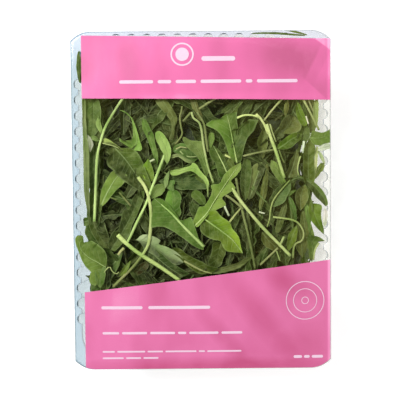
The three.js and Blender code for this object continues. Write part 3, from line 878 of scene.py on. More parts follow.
# Other leaves seen in the window, by places in the photograph: the points from stalk to tip,
# the width in its pixels, the form, the depth under the film and the tone
WINDOW_LEAVES = {
    "beside_rib": ["236,172 229,162 224,152", 10, "plain", 3.0, "mid"],
    "small_upright": ["165.5,188 166.3,180 169,171", 5, "plain", 2.0, "pale"],
    "curl_thin": ["170,158 175,155.5 180,155.5 186,160 193,163", 4, "strap", 2.2, "pale"],
    "round_small": ["174,191 171,186 174,180", 8, "plain", 3.2, "bright"],
    "lobe_mid_left": ["151,199 157,191 165,185", 11, "plain", 2.4, "bright"],
    "dark_by_tip": ["204,226 197,213 191,202", 12, "plain", 3.4, "deep"],
    "strip_low": ["208,273 224,269.5 238,265 252,256", 6, "strap", 3.6, "olive"],
    "brown_low": ["132,276 142,268 148,262", 9, "plain", 4.4, "brown"],
    "leaflet_low": ["119,277 125,270 130.5,261", 5, "plain", 1.8, "vivid"],
    "petiole_lobe": ["99,141 94,138 89,137", 5, "plain", 2.2, "bright"],
    "grey_scrap": ["86,134 90.5,143 90,152", 5, "plain", 1.2, "silver"],
    "haze_upright": ["260,210 264,190 267,164", 6, "strap", 3.6, "olive"],
    "haze_high": ["262,160 262,142 266,126", 11, "plain", 4.4, "olive"],
    "shade_by_lance": ["299,146 303,136 306,124", 13, "plain", 3.6, "deep"],
    "slim_high_right": ["288,99 286.5,107 285.5,117", 5, "plain", 2.8, "olive"],
    "right_rim_high": ["317,98 316,110 316,126", 5.5, "strap", 1.6, "straw"],
    "pale_right_edge": ["314,181 315.8,161 317,146", 3.4, "strap", 1.8, "beige"],
    "lobe_right": ["279,197 287,194.5 296,190", 5, "plain", 2.5, "bright"],
    "slim_right": ["289,196 293,208 296.5,223", 6, "plain", 2.4, "leafy"],
    "strap_right": ["305,197 307,211 309,224 310.5,235", 4.5, "strap", 2.4, "bright"],
    "haze_low_right": ["286,202 281,218 277,233", 7, "strap", 3.8, "haze"],
    "bright_low_right": ["297,226 292,238 288,251", 9, "plain", 3.0, "vivid"],
    "shade_low_right": ["303,258 301,240 298,222", 13, "plain", 4.0, "haze"],
    "haze_lowest": ["262,264 264,255 269,246", 7, "plain", 4.0, "shade"],
    "haze_under_stem": ["262,232 268,240 281,252", 12, "plain", 4.4, "haze"],
    "back_left_high": ["95,99 97,122 96,146", 13, "plain", 4.6, "shade"],
    "back_left_middle": ["92,142 94,166 93,192", 13, "strap", 4.6, "shade"],
    "back_left_low": ["93,182 95,206 96,232", 13, "plain", 4.6, "deep"],
    "back_right_high": ["307,97 311,116 313,136", 10, "plain", 4.2, "haze"],
    "back_right_low": ["310,222 311,243 312,262", 8, "plain", 3.8, "mid"],
    "back_right_middle": ["305,184 308,206 309,230", 9, "plain", 3.8, "mid"],
    "rim_left": ["80,83 79,66 79.5,51", 5, "strap", 0.5, "deep"],
    "rim_top": ["257,30.4 270,29 284,29.4 296,32 307,35", 2.4, "strap", 0.5, "mid"],
    "rim_top_second": ["252,33.4 272,33.2 290,34.4 305,35.6", 2.2, "strap", 0.5, "shade"],
}

# Scraps at the window's edges, in the same form, drawn with random numbers of their own
EDGE_SCRAPS = {
    # Pale beige and cream scraps along the right edge
    "beige_right": ["316.5,150 323,147.2 331,145.5", 7, "strap", 0.9, "cream"],
    "beige_right_low": ["317.5,150 321,156 324.5,164", 3.4, "strap", 1.2, "beige"],
    "beige_edge": ["325.2,208.5 325.2,216 324.2,226", 4.6, "strap", 1.2, "cream"],
    "back_right_inner": ["303,210 305,226 306,240", 9, "plain", 4.0, "haze"],
    "back_high_inner": ["303,100 305,112 307,124", 6, "plain", 4.2, "shade"],
    "back_high_rim": ["312,97 313.2,105 314,114", 5, "plain", 3.0, "haze"],
    "corner_of_low_leaf": ["99.8,288 100.3,277 101.2,264", 10.5, "strap", 1.5, "leafy"],
}

# Stems seen in the window, by places in the photograph: the points, the thickness in its
# pixels, the depth under the film and the tone
WINDOW_STEMS = {
    "left_petiole": [
        "94.3,221.5 95.5,190 96.5,165 98.3,150 103,133 108,122 117,107 123,98", 2.8, 1.0, "green",
    ],
    "spoon_petiole": ["164.5,155 158,172 150,193 145,206 137,222 131,235 127.5,242", 2.7, 2.0, "green"],
    "spoon_stub": ["124,248 121,251 118,255", 2.6, 2.6, "pale"],
    "curved_cut": ["138,177 145,187 149,199 151,215 150,234 148,245 142,256", 3.4, 1.2, "green"],
    "curved_tail": ["141,257 134,266 125,275 113,287", 2.8, 2.2, "brown"],
    "cross_cut": ["117.5,235 128,245 141,255 160,267 180,281", 4.3, 0.9, "bright"],
    "right_diagonal": ["232,188 240,200 252,215 265,230 278,243 290.5,256", 3.4, 1.0, "green"],
    "brown_stub": ["224,194 233,200 243,209", 2.6, 1.8, "brown"],
    "cross_short": ["229.5,222 235,215 241,208", 1.9, 1.6, "pale"],
    "upper_right": ["266.8,124 271,138 275.5,150 280,164 284.5,178", 3.3, 1.0, "bright"],
    "upper_right_arch": ["256,114 261,119 265,126 268,134", 2.4, 1.6, "green"],
    "arch": ["237,118 243,115.4 249,115 255,115.8 259,118", 2.0, 0.7, "bright"],
    "thin_top": ["283,98 273,109 264,120.5", 2.0, 2.6, "pale"],
    "thin_down": ["270,124 272,131 276,142", 1.5, 2.6, "pale"],
    "thin_down_low": ["279,150 282,158 284.5,163", 1.5, 2.8, "olive"],
    "thin_mid": ["243,156 258,152.5 277,149", 1.9, 2.4, "brown"],
    "right_top": ["303,99 310,112 315,122 319,130", 2.2, 1.8, "pale"],
    "right_top_second": ["308,99 312,108 316,118", 1.8, 2.4, "brown"],
    "hook": [
        "273,217 281,218 290,219.3 297,222 302,228 303.7,235 301.5,241 296,243.5 293.5,249 293,258",
        1.9, 1.8, "pale",
    ],
    "long_hazy": ["236,178 239,196 243,214 248,234 252,252 255,268", 2.6, 2.6, "olive"],
    "middle_stem": [
        "191.5,112 193.5,118 199,122.5 201.5,130 203.5,145 207,163 209.5,172 213.5,183", 2.3, 1.4, "pale",
    ],
    "middle_dark": ["197,112 204,124 206,138 208,152", 2.4, 2.6, "olive"],
    "wisp": ["182,106 181.3,112 179.8,117 181,127 182.3,133 180,138.5 175,144", 1.8, 2.0, "olive"],
    "cross_top": ["216,98 208,103 199,109", 2.6, 3.4, "brown"],
    "cross_top_low": ["191,112.5 187,117 183,121.5", 2.4, 3.4, "olive"],
    "arch_stem": ["207.5,184 207.8,190 208,197", 1.8, 1.8, "pale"],
    "low_right_stem": ["278,248 270,255.5 260,265", 2.2, 2.4, "brown"],
    "low_right_stub": ["284,236.5 282,241 280,245", 2.2, 1.6, "pale"],
    "low_right_thin": ["276.5,251 278,255 280,261", 1.5, 2.6, "pale"],
    "stub_white": ["224.5,206 229,216", 2.4, 1.4, "white"],
    "dash_white": ["259,212 264.8,213.5", 1.8, 1.6, "white"],
    "dash_left": ["150,161.5 154.5,159.3", 1.8, 1.6, "white"],
    "dash_middle": ["225,155 231,158", 2.0, 1.8, "bright"],
    "gap_white_a": ["306,116 308.5,124", 1.6, 1.8, "white"],
    "gap_white_b": ["304,141 303,153", 2.4, 1.8, "white"],
    "fold_right": ["300.5,156 298.5,163 297.5,170 299,176", 1.5, 2.0, "pale"],
    "grey_thin": ["119,192 124,198 131,206", 1.8, 2.8, "olive"],
    "grey_thin_short": ["109.5,197 117,200", 1.5, 2.8, "olive"],
    "rib_right": ["290,180 281,190 273.5,200 270.5,210 269.5,219 267,227", 1.4, 1.8, "pale"],
    "olive_rib": ["184,261 193,266 203,271 212,273.5", 1.9, 2.2, "brown"],
    "arc_in_curl": ["176,149 181,147 187,148", 1.3, 2.2, "pale"],
    "arc_in_curl_low": ["180,151 184,155 190,157 197,156.5", 1.3, 2.2, "pale"],
    "curl_low_left": ["104,273 107,268.5 110,267 112,271 116,274 119,272", 1.1, 1.8, "pale"],
    "curl_left_rim": ["102.5,143.3 107,144.3 113,145.8 119,148.5", 1.1, 1.6, "pale"],
    "star_stem": ["319,243 315,250 313.5,260", 1.8, 2.0, "pale"],
}


PLAIN_RIB = 0.1
WINDOW_RIB = 0.15
STALK_TAPER = 0.3
STALK_SINK = 1.5
STEM_TAPER = 0.92


def photo_places(text):
    """Places in the photograph, written as pairs of pixel coordinates."""
    return [tuple(float(number) for number in pair.split(",")) for pair in text.split()]


def lay_seen(text, depth):
    return [seen_at(u, v, depth) for u, v in photo_places(text)]


def nearest_share(spine, place, steps=80):
    """How far along a spine a place lies, from 0 to 1."""
    shares = [step / steps for step in range(steps + 1)]
    return min(shares, key=lambda t: (spline_point(spine, t)[0] - place).length)


def edge_stations(spine, knots):
    """Shares along the spine that an edge's places belong to, in order from 0 to 1.

    A lobe that points forward keeps the share of the notch before it.
    """
    shares = [0.0, *(nearest_share(spine, knot) for knot in knots), 1.0]
    for number in reversed(range(1, len(shares) - 1)):
        shares[number] = min(shares[number], shares[number + 1] - 0.015)
    for number in range(1, len(shares) - 1):
        shares[number] = max(shares[number], shares[number - 1] + 0.005)
    return shares


def edge_place(knots, shares, t):
    span = 0
    while span < len(knots) - 2 and shares[span + 1] < t:
        span += 1
    u = (t - shares[span]) / max(shares[span + 1] - shares[span], 1e-6)
    return spline_at(knots, span, max(0.0, min(1.0, u)))[0]


def add_traced_leaf(foliage, leaf_form, rng, limit):
    """A blade whose spine and edges follow places in the photograph."""
    spine_text, *edge_texts, depth, tone, traits = leaf_form
    traits = {"rib": PLAIN_RIB, **traits}
    stalk = traits.pop("stalk", None)
    spine = lay_seen(spine_text, depth)
    spine[0].z -= STALK_SINK
    spine[-1].z -= rng.uniform(0.0, 1.0)
    length = spline_length(spine)
    edges = []
    for edge_text in edge_texts:
        knots = [spine[0], *lay_seen(edge_text, depth), spine[-1]]
        edges.append((knots, edge_stations(spine, knots[1:-1])))
    steps = max(20, int(1.6 * length / ROW_SPACING))
    rows = []
    for step in range(steps + 1):
        t = step / steps
        middle = spline_point(spine, t)[0]
        places = [edge_place(knots, shares, t) for knots, shares in edges]
        rows.append((t, middle, UP, places))
    look = BladeLook(rng, tone, **traits)
    lay_blade(foliage, rows, length, look, limit)
    if stalk:
        rib = [point + Vector((0, 0, 0.3 - 0.4 * look.fold)) for point in spine[:-1]]
        rib.append(spline_point(spine, 0.9)[0])
        add_stem(foliage, rib, stalk * PIXEL, "green", rng, limit, taper=STALK_TAPER)


def add_window_leaves(foliage, leaf_forms, rng):
    for places, width, form, depth, tone in leaf_forms.values():
        spine = lay_seen(places, depth)
        spine[0].z -= rng.uniform(0.5, 2.5)
        spine[-1].z -= rng.uniform(0.0, 1.5)
        look = BladeLook(rng, tone, rib=WINDOW_RIB)
        add_leaf(foliage, spine, width * PIXEL, form, UP, look, rng, inside_seal)


def top_foliage(rng):
    foliage = Foliage()
    for leaf_form in TRACED_LEAVES.values():
        add_traced_leaf(foliage, leaf_form, rng, inside_seal)
    add_window_leaves(foliage, WINDOW_LEAVES, rng)
    add_window_leaves(foliage, EDGE_SCRAPS, random.Random(SEED + 1))
    for places, thickness, depth, tone in WINDOW_STEMS.values():
        add_stem(foliage, lay_seen(places, depth), thickness * PIXEL, tone, rng, taper=STEM_TAPER)
    return foliage


FILLER_FORMS = ["plain", "plain", "lobed", "notched", "smooth", "strap", "oak"]
FILLER_RIGHT = 77.0
HEAP_LEVEL = 48
HEAP_MARGIN = 7
FILLER_STEM_TONES = ["pale", "olive", "olive", "brown", "green"]
# Filler stems are darkened as painted shade under the top leaves
FILLER_STEM_SHADE = 0.5


def within_heap(x, y):
    """Whether a place lies where the heap reaches: it leaves the tray's right side bare."""
    return wall_excess(x, y, HEAP_LEVEL)[0] < HEAP_MARGIN and x < FILLER_RIGHT


def strewn_spine(rng, lengths, shares, bend_most, depths, tilt_most):
    """A random spine whose ends lie within the heap."""
    while True:
        x = rng.uniform(-WALL_X, WALL_X)
        y = rng.uniform(-WALL_Y, WALL_Y)
        heading = rng.uniform(0, 2 * math.pi)
        length = rng.uniform(*lengths)
        bend = rng.uniform(-bend_most, bend_most)
        depth = rng.uniform(*depths)
        tilt = rng.uniform(-tilt_most, tilt_most)
        spine = []
        for share in shares:
            turn = heading + bend * share
            away = length * share
            place_x = x + away * math.cos(turn)
            place_y = y + away * math.sin(turn)
            spine.append(under_film(place_x, place_y, depth + away * tilt))
        if all(within_heap(point.x, point.y) for point in spine):
            return spine


# Painted shade in the dark gaps between the leaves, by places in the photograph: middle, and reach across and
# down
PAINTED_SHADE_GAPS = [
    (124, 121, 18, 20), (148, 144, 8, 18), (104, 158, 7, 12), (109, 214, 14, 18), (109, 276, 8, 14),
    (166, 234, 24, 11), (196, 250, 22, 14), (158, 274, 30, 11), (236, 257, 14, 11), (184, 207, 8, 14),
    (190, 128, 14, 15), (176, 161, 14, 7), (253, 202, 9, 15), (255, 142, 8, 13), (148, 108, 14, 13),
]
GAP_DEPTH = 8
GAP_PAINTED_LIGHT = 0.10


def gap_places():
    return [(seen_at(u, v, GAP_DEPTH), across * PIXEL, down * PIXEL) for u, v, across, down in PAINTED_SHADE_GAPS]


def painted_light_between(gaps, place):
    """Painted light for a place under the top leaves, a factor on its tone: less in the dark gaps."""
    nearest = 1.0
    for middle, across, down in gaps:
        far = ((place[0] - middle.x) / across) ** 2 + ((place[1] - middle.y) / down) ** 2
        nearest = min(nearest, far * far)
    return GAP_PAINTED_LIGHT + (1 - GAP_PAINTED_LIGHT) * nearest


def filler_layer(foliage, rng, count, stems, depths, tones, shades):
    """Leaves and stems strewn at random under the ones on top."""
    for _ in range(count):
        spine = strewn_spine(
            rng, lengths=(32, 80), shares=(-0.5, 0.0, 0.5), bend_most=0.6, depths=depths, tilt_most=0.10,
        )
        facing = Vector((rng.uniform(-0.5, 0.5), rng.uniform(-0.5, 0.5), 1)).normalized()
        look = BladeLook(rng, rng.choice(tones), rng.uniform(*shades))
        add_leaf(foliage, spine, rng.uniform(6, 15), rng.choice(FILLER_FORMS), facing, look, rng)
    for _ in range(stems):
        points = strewn_spine(
            rng, lengths=(25, 70), shares=(-0.5, -0.15, 0.2, 0.5), bend_most=0.9, depths=depths,
            tilt_most=0.04,
        )
        shade = FILLER_STEM_SHADE * rng.uniform(*shades)
        add_stem(foliage, points, rng.uniform(1.0, 2.0), rng.choice(FILLER_STEM_TONES), rng, shade=shade)


CORNER_CLEARANCE = 8
BARE_SIDE_GAP = 5.0
LEAF_SLANT = 40
STEM_SLANT = 45
STEM_RISE = 26
WALL_TONES = ["mid", "mid", "leafy", "shade", "haze", "bright", "deep"]


def along_wall(side, z, gap, sideways):
    """A place a gap inside one wall, at a height and a distance along it."""
    straight = side["run"] - CORNER_CLEARANCE
    sideways = max(-straight, min(straight, sideways))
    return Vector((*beside(side, side["reach"] - wall_inset(z) - gap, sideways), z))


def wall_layer(foliage, rng, gap, count_per_metre, shades):
    """Leaves that stand or lean against the walls, slanted at random."""
    for side in SIDES:
        out = Vector((*side["out"], 0))
        straight = side["run"] - CORNER_CLEARANCE
        count = int(2 * straight * count_per_metre / 1000)
        bare = BARE_SIDE_GAP if side["out"] == (1, 0) else 0.0
        for number in range(count):
            start = -straight + 2 * straight * (number + rng.random()) / count
            slant = rng.uniform(-LEAF_SLANT, LEAF_SLANT)
            low = rng.uniform(2, 20)
            rise = rng.uniform(10, 40)
            spacing = gap + rng.uniform(0, 3.0)
            spine = []
            for step in (0.0, 0.5, 1.0):
                z = min(low + rise * step, 50)
                inward = spacing + 1.2 + bare * min(1, z / 30) + 2.5 * abs(step - 0.5)
                spine.append(along_wall(side, z, inward, start + slant * (step - 0.5)))
            if rng.random() < 0.5:
                spine.reverse()
            look = BladeLook(rng, rng.choice(WALL_TONES), rng.uniform(*shades))
            facing = (out + Vector((0, 0, rng.uniform(-0.4, 0.4)))).normalized()
            add_leaf(foliage, spine, rng.uniform(7, 17), rng.choice(FILLER_FORMS), facing, look, rng)
        for _ in range(count // 2):
            start = rng.uniform(-straight, straight)
            slant = rng.uniform(-STEM_SLANT, STEM_SLANT)
            low = rng.uniform(3, 20)
            points = []
            for step in (0.0, 0.35, 0.7, 1.0):
                inward = gap + 1.8 + rng.uniform(0, 1.5)
                place = along_wall(side, low + STEM_RISE * step, inward, start + slant * (step - 0.5))
                points.append(place)
            tone = rng.choice(FILLER_STEM_TONES)
            add_stem(foliage, points, rng.uniform(1.2, 2.0), tone, rng, shade=FILLER_STEM_SHADE)


FLOOR_LEAF_X = 66
FLOOR_LEAF_Y = 94


def floor_layer(foliage, rng, count):
    """Leaves that lie flat on the floor."""
    for _ in range(count):
        x = rng.uniform(-FLOOR_LEAF_X, FLOOR_LEAF_X)
        y = rng.uniform(-FLOOR_LEAF_Y, FLOOR_LEAF_Y)
        heading = rng.uniform(0, 2 * math.pi)
        length = rng.uniform(35, 70)
        z = rng.uniform(2.2, 5)
        spine = []
        for step in (-0.5, 0.0, 0.5):
            away = length * step
            spine.append(Vector((x + away * math.cos(heading), y + away * math.sin(heading), z + abs(step))))
        look = BladeLook(rng, rng.choice(WALL_TONES))
        add_leaf(foliage, spine, rng.uniform(9, 18), rng.choice(FILLER_FORMS), UP, look, rng)


CORE_SIDES = 96
CORE_LEVELS = 18
CORE_MIDDLE = 22
CORE_HALF_HEIGHT = 19
CORE_GAP = 9


def make_core():
    """The mass of leaves that shows only between the others: a lumpy rounded block, coloured near black as
    painted shade.
    """
    rings = []
    for level in range(CORE_LEVELS + 1):
        turn = math.pi * (level / CORE_LEVELS - 0.5)
        z = CORE_MIDDLE + CORE_HALF_HEIGHT * math.copysign(abs(math.sin(turn)) ** 0.5, math.sin(turn))
        scale = max(abs(math.cos(turn)) ** 0.3, 0.02)
        inset = wall_inset(z) + CORE_GAP
        ring = []
        for side in range(CORE_SIDES):
            angle = 2 * math.pi * side / CORE_SIDES
            x = (WALL_X - inset) * scale * math.copysign(abs(math.cos(angle)) ** 0.4, math.cos(angle))
            y = (WALL_Y - inset) * scale * math.copysign(abs(math.sin(angle)) ** 0.4, math.sin(angle))
            lump = math.sin(x / 6 + z / 8 + 0.6) * math.cos(y / 7 - z / 6) + 0.5 * math.sin((x - y) / 9 + 2.1)
            ring.append((x * (1 + 0.014 * lump), y * (1 + 0.01 * lump), z + 1.3 * lump * math.sin(turn)))
        rings.append(ring)
    places, faces = loft_rings(rings)
    faces.append(tuple(reversed(range(CORE_SIDES))))
    faces.append(tuple(range(CORE_LEVELS * CORE_SIDES, (CORE_LEVELS + 1) * CORE_SIDES)))
    return make_object("leaf_core", places, faces)


# Marks on the print: plain bars and rings

def over_print(x, y):
    return (x, y, MARK_LEVEL + film_rise(x, y))


BAR_END_STEPS = 5
BAR_STEP = 4


def add_bar(places, faces, left, right, middle_y, height):
    """A bar with round ends that follows the film."""
    first = len(places)
    radius = height / 2
    stations = []
    for step in range(BAR_END_STEPS + 1):
        turn = math.pi / 2 * step / BAR_END_STEPS
        stations.append((left + radius * (1 - math.cos(turn)), radius * math.sin(turn)))
    inner_length = right - left - height
    inner_steps = max(1, int(inner_length / BAR_STEP))
    inner = [(left + radius + inner_length * step / inner_steps, radius) for step in range(1, inner_steps)]
    mirrored = [(left + right - x, half) for x, half in reversed(stations)]
    outline = stations + inner + mirrored
    for x, half in outline:
        places.append(over_print(x, middle_y - half))
        places.append(over_print(x, middle_y + half))
    for station in range(len(outline) - 1):
        a = first + 2 * station
        faces.append((a, a + 2, a + 3, a + 1))


def add_ring(places, faces, x, y, outer, inner, steps=72):
    first = len(places)
    for step in range(steps):
        turn = 2 * math.pi * step / steps
        for radius in (inner, outer):
            places.append(over_print(x + radius * math.cos(turn), y + radius * math.sin(turn)))
    for step in range(steps):
        a = first + 2 * step
        b = first + 2 * ((step + 1) % steps)
        faces.append((a, a + 1, b + 1, b))


# Rows of bars at a height, from left to right, with the bars' relative widths
BAR_ROWS = [
    {"y": 98.4, "left": 0.5, "right": 23.8, "height": 3.2, "widths": [1], "gap": 0},
    {"y": 82.8, "left": -56.1, "right": 66.6, "height": 2.3, "widths": [5, 2, 3, 6, 1, 6], "gap": 3.0},
    {"y": -73.6, "left": -70.7, "right": 5.2, "height": 2.2, "widths": [4, 6], "gap": 4.0},
    {"y": -91.6, "left": -70.2, "right": 27.5, "height": 1.7, "widths": [4, 6, 6, 2, 7, 5], "gap": 2.0},
    {"y": -104.8, "left": -70.4, "right": 26.8, "height": 1.2, "widths": [4, 9, 5, 10, 2, 11], "gap": 1.6},
    {"y": -109.4, "left": -70.4, "right": -31.3, "height": 1.2, "widths": [7, 5, 5], "gap": 1.6},
    {"y": -109.3, "left": 63.3, "right": 84.0, "height": 2.0, "widths": [3, 2, 4], "gap": 1.4},
]
# Rings: the middle's x and y, then the outer and the inner radius
RINGS = [
    (-12.7, 101.5, 8.0, 6.9),
    (-12.7, 101.5, 4.6, 0.05),
    (71.4, -69.6, 13.5, 13.0),
    (71.4, -69.6, 8.4, 7.95),
    (71.4, -69.6, 2.6, 2.15),
]


def make_marks():
    places, faces = [], []
    for row in BAR_ROWS:
        bars = row["widths"]
        unit = (row["right"] - row["left"] - row["gap"] * (len(bars) - 1)) / sum(bars)
        x = row["left"]
        for width in bars:
            add_bar(places, faces, x, x + width * unit, row["y"], row["height"])
            x += width * unit + row["gap"]
    for ring in RINGS:
        add_ring(places, faces, *ring)
    return make_object("print_marks", places, faces)


# Materials

class Looks:
    """A material under construction, with short calls for its nodes."""

    def __init__(self, name):
        self.material = bpy.data.materials.new(name)
        self.material.use_nodes = True
        self.tree = self.material.node_tree
        self.tree.nodes.clear()
        self.output = self.node("ShaderNodeOutputMaterial")

    def node(self, kind, inputs=None, **settings):
        node = self.tree.nodes.new(kind)
        for key, value in settings.items():
            setattr(node, key, value)
        for key, value in (inputs or {}).items():
            self.put(node.inputs[key], value)
        return node

    def put(self, socket, value):
        if isinstance(value, bpy.types.NodeSocket):
            self.tree.links.new(value, socket)
        else:
            socket.default_value = (*value, 1.0) if socket.type == "RGBA" else value

    def math(self, operation, a, b=0.0, c=0.0):
        node = self.node("ShaderNodeMath", operation=operation)
        for socket, value in zip(node.inputs, (a, b, c)):
            self.put(socket, value)
        return node.outputs[0]

    def times(self, a, b):
        return self.math("MULTIPLY", a, b)

    def plus(self, a, b):
        return self.math("ADD", a, b)

    def ramp(self, value, low, high, to_low=0.0, to_high=1.0):
        return self.node("ShaderNodeMapRange", {
            "Value": value, "From Min": low, "From Max": high, "To Min": to_low, "To Max": to_high,
        }, clamp=True).outputs[0]

    def mix(self, share, one, two, blend="MIX"):
        node = self.node("ShaderNodeMix", data_type="RGBA", blend_type=blend)
        self.put(node.inputs[0], share)
        self.put(node.inputs[6], one)
        self.put(node.inputs[7], two)
        return node.outputs[2]

    def place(self):
        return self.node("ShaderNodeTexCoord").outputs["Object"]

    def axes(self, vector):
        split = self.node("ShaderNodeSeparateXYZ", {"Vector": vector})
        return split.outputs["X"], split.outputs["Y"], split.outputs["Z"]

    def noise(self, where, scale, detail=3.0, roughness=0.5):
        return self.node("ShaderNodeTexNoise", {
            "Vector": where, "Scale": scale, "Detail": detail, "Roughness": roughness,
        }).outputs["Fac"]

    def bump(self, height, strength, distance):
        return self.node("ShaderNodeBump", {
            "Height": height, "Strength": strength, "Distance": distance,
        }).outputs["Normal"]

    def spot(self, where, x, y, reach_x, reach_y, turn, cut=False):
        """A soft oval patch in millimetres: 1 at its middle and 0 beyond its reach.

        A cut patch keeps only the half on its turned Y side, as beside a fold.
        """
        moved = self.node("ShaderNodeMapping", {
            "Vector": where,
            "Location": (x * MM, y * MM, 0.0),
            "Rotation": (0.0, 0.0, math.radians(turn)),
            "Scale": (reach_x * MM, reach_y * MM, 1.0),
        }, vector_type="TEXTURE")
        flat = self.node(
            "ShaderNodeVectorMath", {0: moved.outputs[0], 1: (1.0, 1.0, 0.0)}, operation="MULTIPLY",
        ).outputs[0]
        far = self.node("ShaderNodeVectorMath", {0: flat}, operation="LENGTH").outputs["Value"]
        patch = self.ramp(far, 1.0, 0.25)
        if cut:
            patch = self.times(patch, self.ramp(self.axes(flat)[1], -0.03, 0.05))
        return patch

    def surface(self, shader):
        self.put(self.output.inputs["Surface"], shader.outputs[0])
        return self.material

    def mixed_surface(self, share, one, two):
        both = {"Fac": share, 1: one.outputs[0], 2: two.outputs[0]}
        return self.surface(self.node("ShaderNodeMixShader", both))


# Colours of leaves. The veins' spacing and wander are in hundreds of millimetres, and their
# slant is how far they run forward for each step outward.
RIB_COLOUR = (0.40, 0.53, 0.21)
VEIN_COLOUR = (0.36, 0.50, 0.19)
LEAF_EDGE_HIGHLIGHT = (0.36, 0.48, 0.18)
PATCH_SHADE = (0.60, 0.72, 0.50)
MOTTLE_LIGHT = (0.30, 0.36, 0.12)
MOTTLE_SHADE = (0.45, 0.55, 0.38)
THROUGH_COLOUR = (0.26, 0.46, 0.05)
LEAF_GLEAM = (0.88, 1.0, 0.60)
LEAF_THROUGH = 0.16
VEIN_SPACING = 0.046
VEIN_SLANT = 0.9
VEIN_WANDER = 0.03
VEIN_PALENESS = 0.12


def leaf_looks():
    """Rocket leaf: mottled satin green with slanting veins, a paler midrib and a painted highlight along the
    edge.
    """
    looks = Looks("rocket_leaf")
    along, across_signed, _ = looks.axes(looks.node("ShaderNodeUVMap", uv_map="blade").outputs[0])
    across = looks.math("ABSOLUTE", across_signed)
    tone = looks.node("ShaderNodeAttribute", attribute_name="tone").outputs["Color"]
    traits = looks.node("ShaderNodeAttribute", attribute_name="traits").outputs["Vector"]
    reach, edge, paleness = looks.axes(traits)
    where = looks.place()

    patches = looks.noise(where, 60.0, 2.0, 0.5)
    mottle = looks.noise(where, 240.0, 3.0, 0.6)
    fine = looks.noise(where, 1100.0, 2.0)

    # Midrib, 1.2 mm wide at the stalk and a third of that at the tip
    rib_half = looks.ramp(reach, 0.0, 1.0, 0.006, 0.002)
    rib = looks.math("SUBTRACT", 1.0, looks.ramp(looks.math("DIVIDE", across, rib_half), 0.55, 1.25))
    rib = looks.times(rib, looks.ramp(edge, 0.9, 0.3))

    # Side veins slant forward and fade towards the edge
    slanted_along = looks.math("SUBTRACT", along, looks.times(across, VEIN_SLANT))
    wander = looks.times(looks.noise(where, 140.0, 2.0), VEIN_WANDER)
    phase = looks.times(looks.plus(slanted_along, wander), math.pi / VEIN_SPACING)
    veins = looks.ramp(looks.math("ABSOLUTE", looks.math("SINE", phase)), 0.93, 1.0)
    veins = looks.times(veins, looks.ramp(edge, 1.0, 0.5))
    veins = looks.times(veins, looks.ramp(edge, 0.0, 0.08))

    colour = looks.mix(looks.ramp(patches, 0.40, 0.66), tone, PATCH_SHADE, "MULTIPLY")
    colour = looks.mix(looks.ramp(mottle, 0.45, 0.75, 0.0, 0.30), colour, MOTTLE_LIGHT)
    colour = looks.mix(looks.ramp(mottle, 0.50, 0.25, 0.0, 0.35), colour, MOTTLE_SHADE, "MULTIPLY")
    # Painted highlight: a paler rim along each blade's edge.
    colour = looks.mix(looks.ramp(edge, 0.86, 1.0, 0.0, 0.30), colour, LEAF_EDGE_HIGHLIGHT)
    colour = looks.mix(looks.times(veins, VEIN_PALENESS), colour, VEIN_COLOUR)
    colour = looks.mix(looks.times(rib, paleness), colour, RIB_COLOUR)

    height = looks.plus(looks.times(veins, -0.3), looks.times(fine, 0.25))
    height = looks.plus(height, looks.times(mottle, 0.8))
    height = looks.plus(height, looks.times(rib, 0.8))
    normal = looks.bump(height, 0.7, 0.0007)

    skin = looks.node("ShaderNodeBsdfPrincipled", {
        "Base Color": colour, "Roughness": looks.ramp(mottle, 0.3, 0.7, 0.40, 0.58), "Normal": normal,
        "Specular IOR Level": 0.22, "Specular Tint": LEAF_GLEAM,
    })
    through = looks.node("ShaderNodeBsdfTranslucent", {
        "Color": looks.mix(0.5, colour, THROUGH_COLOUR), "Normal": normal,
    })
    return looks.mixed_surface(LEAF_THROUGH, skin, through)


# Near-black colours of the core, painted shade
CORE_DARK = (0.006, 0.012, 0.004)
CORE_LIGHT = (0.030, 0.048, 0.014)


def core_looks():
    """Painted shade: near-black leaves so deep in the heap that hardly any light reaches them."""
    looks = Looks("leaf_shade")
    where = looks.place()
    patches = looks.noise(where, 120.0, 4.0, 0.6)
    streaks = looks.noise(where, 420.0, 3.0)
    colour = looks.mix(looks.ramp(patches, 0.35, 0.65), CORE_DARK, CORE_LIGHT)
    skin = looks.node("ShaderNodeBsdfPrincipled", {
        "Base Color": colour, "Roughness": 0.7,
        "Normal": looks.bump(looks.plus(patches, streaks), 0.8, 0.0015),
    })
    return looks.surface(skin)


def clear_skin(looks, share, colour, roughness, normal, clear):
    """Plastic whose own colour shows by a share and lets the rest of the light through."""
    skin = looks.node("ShaderNodeBsdfPrincipled", {
        "Base Color": colour, "Roughness": roughness, "Normal": normal, "Specular IOR Level": 0.5,
    })
    through = looks.node("ShaderNodeBsdfTransparent", {"Color": clear})
    return looks.mixed_surface(share, through, skin)


def glancing_share(looks, normal, face_share, edge_share):
    """How much of clear plastic is seen rather than looked through, more at a glancing angle."""
    glance = looks.node("ShaderNodeLayerWeight", {"Blend": 0.5, "Normal": normal}).outputs["Facing"]
    return looks.ramp(looks.math("POWER", glance, 2.2), 0.0, 1.0, face_share, edge_share)


# Colours of the clear sheet: the plastic itself, and the light that comes through it; the darker bluish left
# and top colours are painted shade
WALL_BODY = {"right": (0.90, 0.91, 0.87), "left": (0.44, 0.55, 0.62)}
FLANGE_BODY = {"right": (0.185, 0.19, 0.25), "left": (0.18, 0.30, 0.41)}
BEND_BODY = (0.27, 0.31, 0.35)
CLEAR = {"right": (0.995, 0.995, 0.985), "left": (0.52, 0.59, 0.62), "top": (0.72, 0.75, 0.84)}
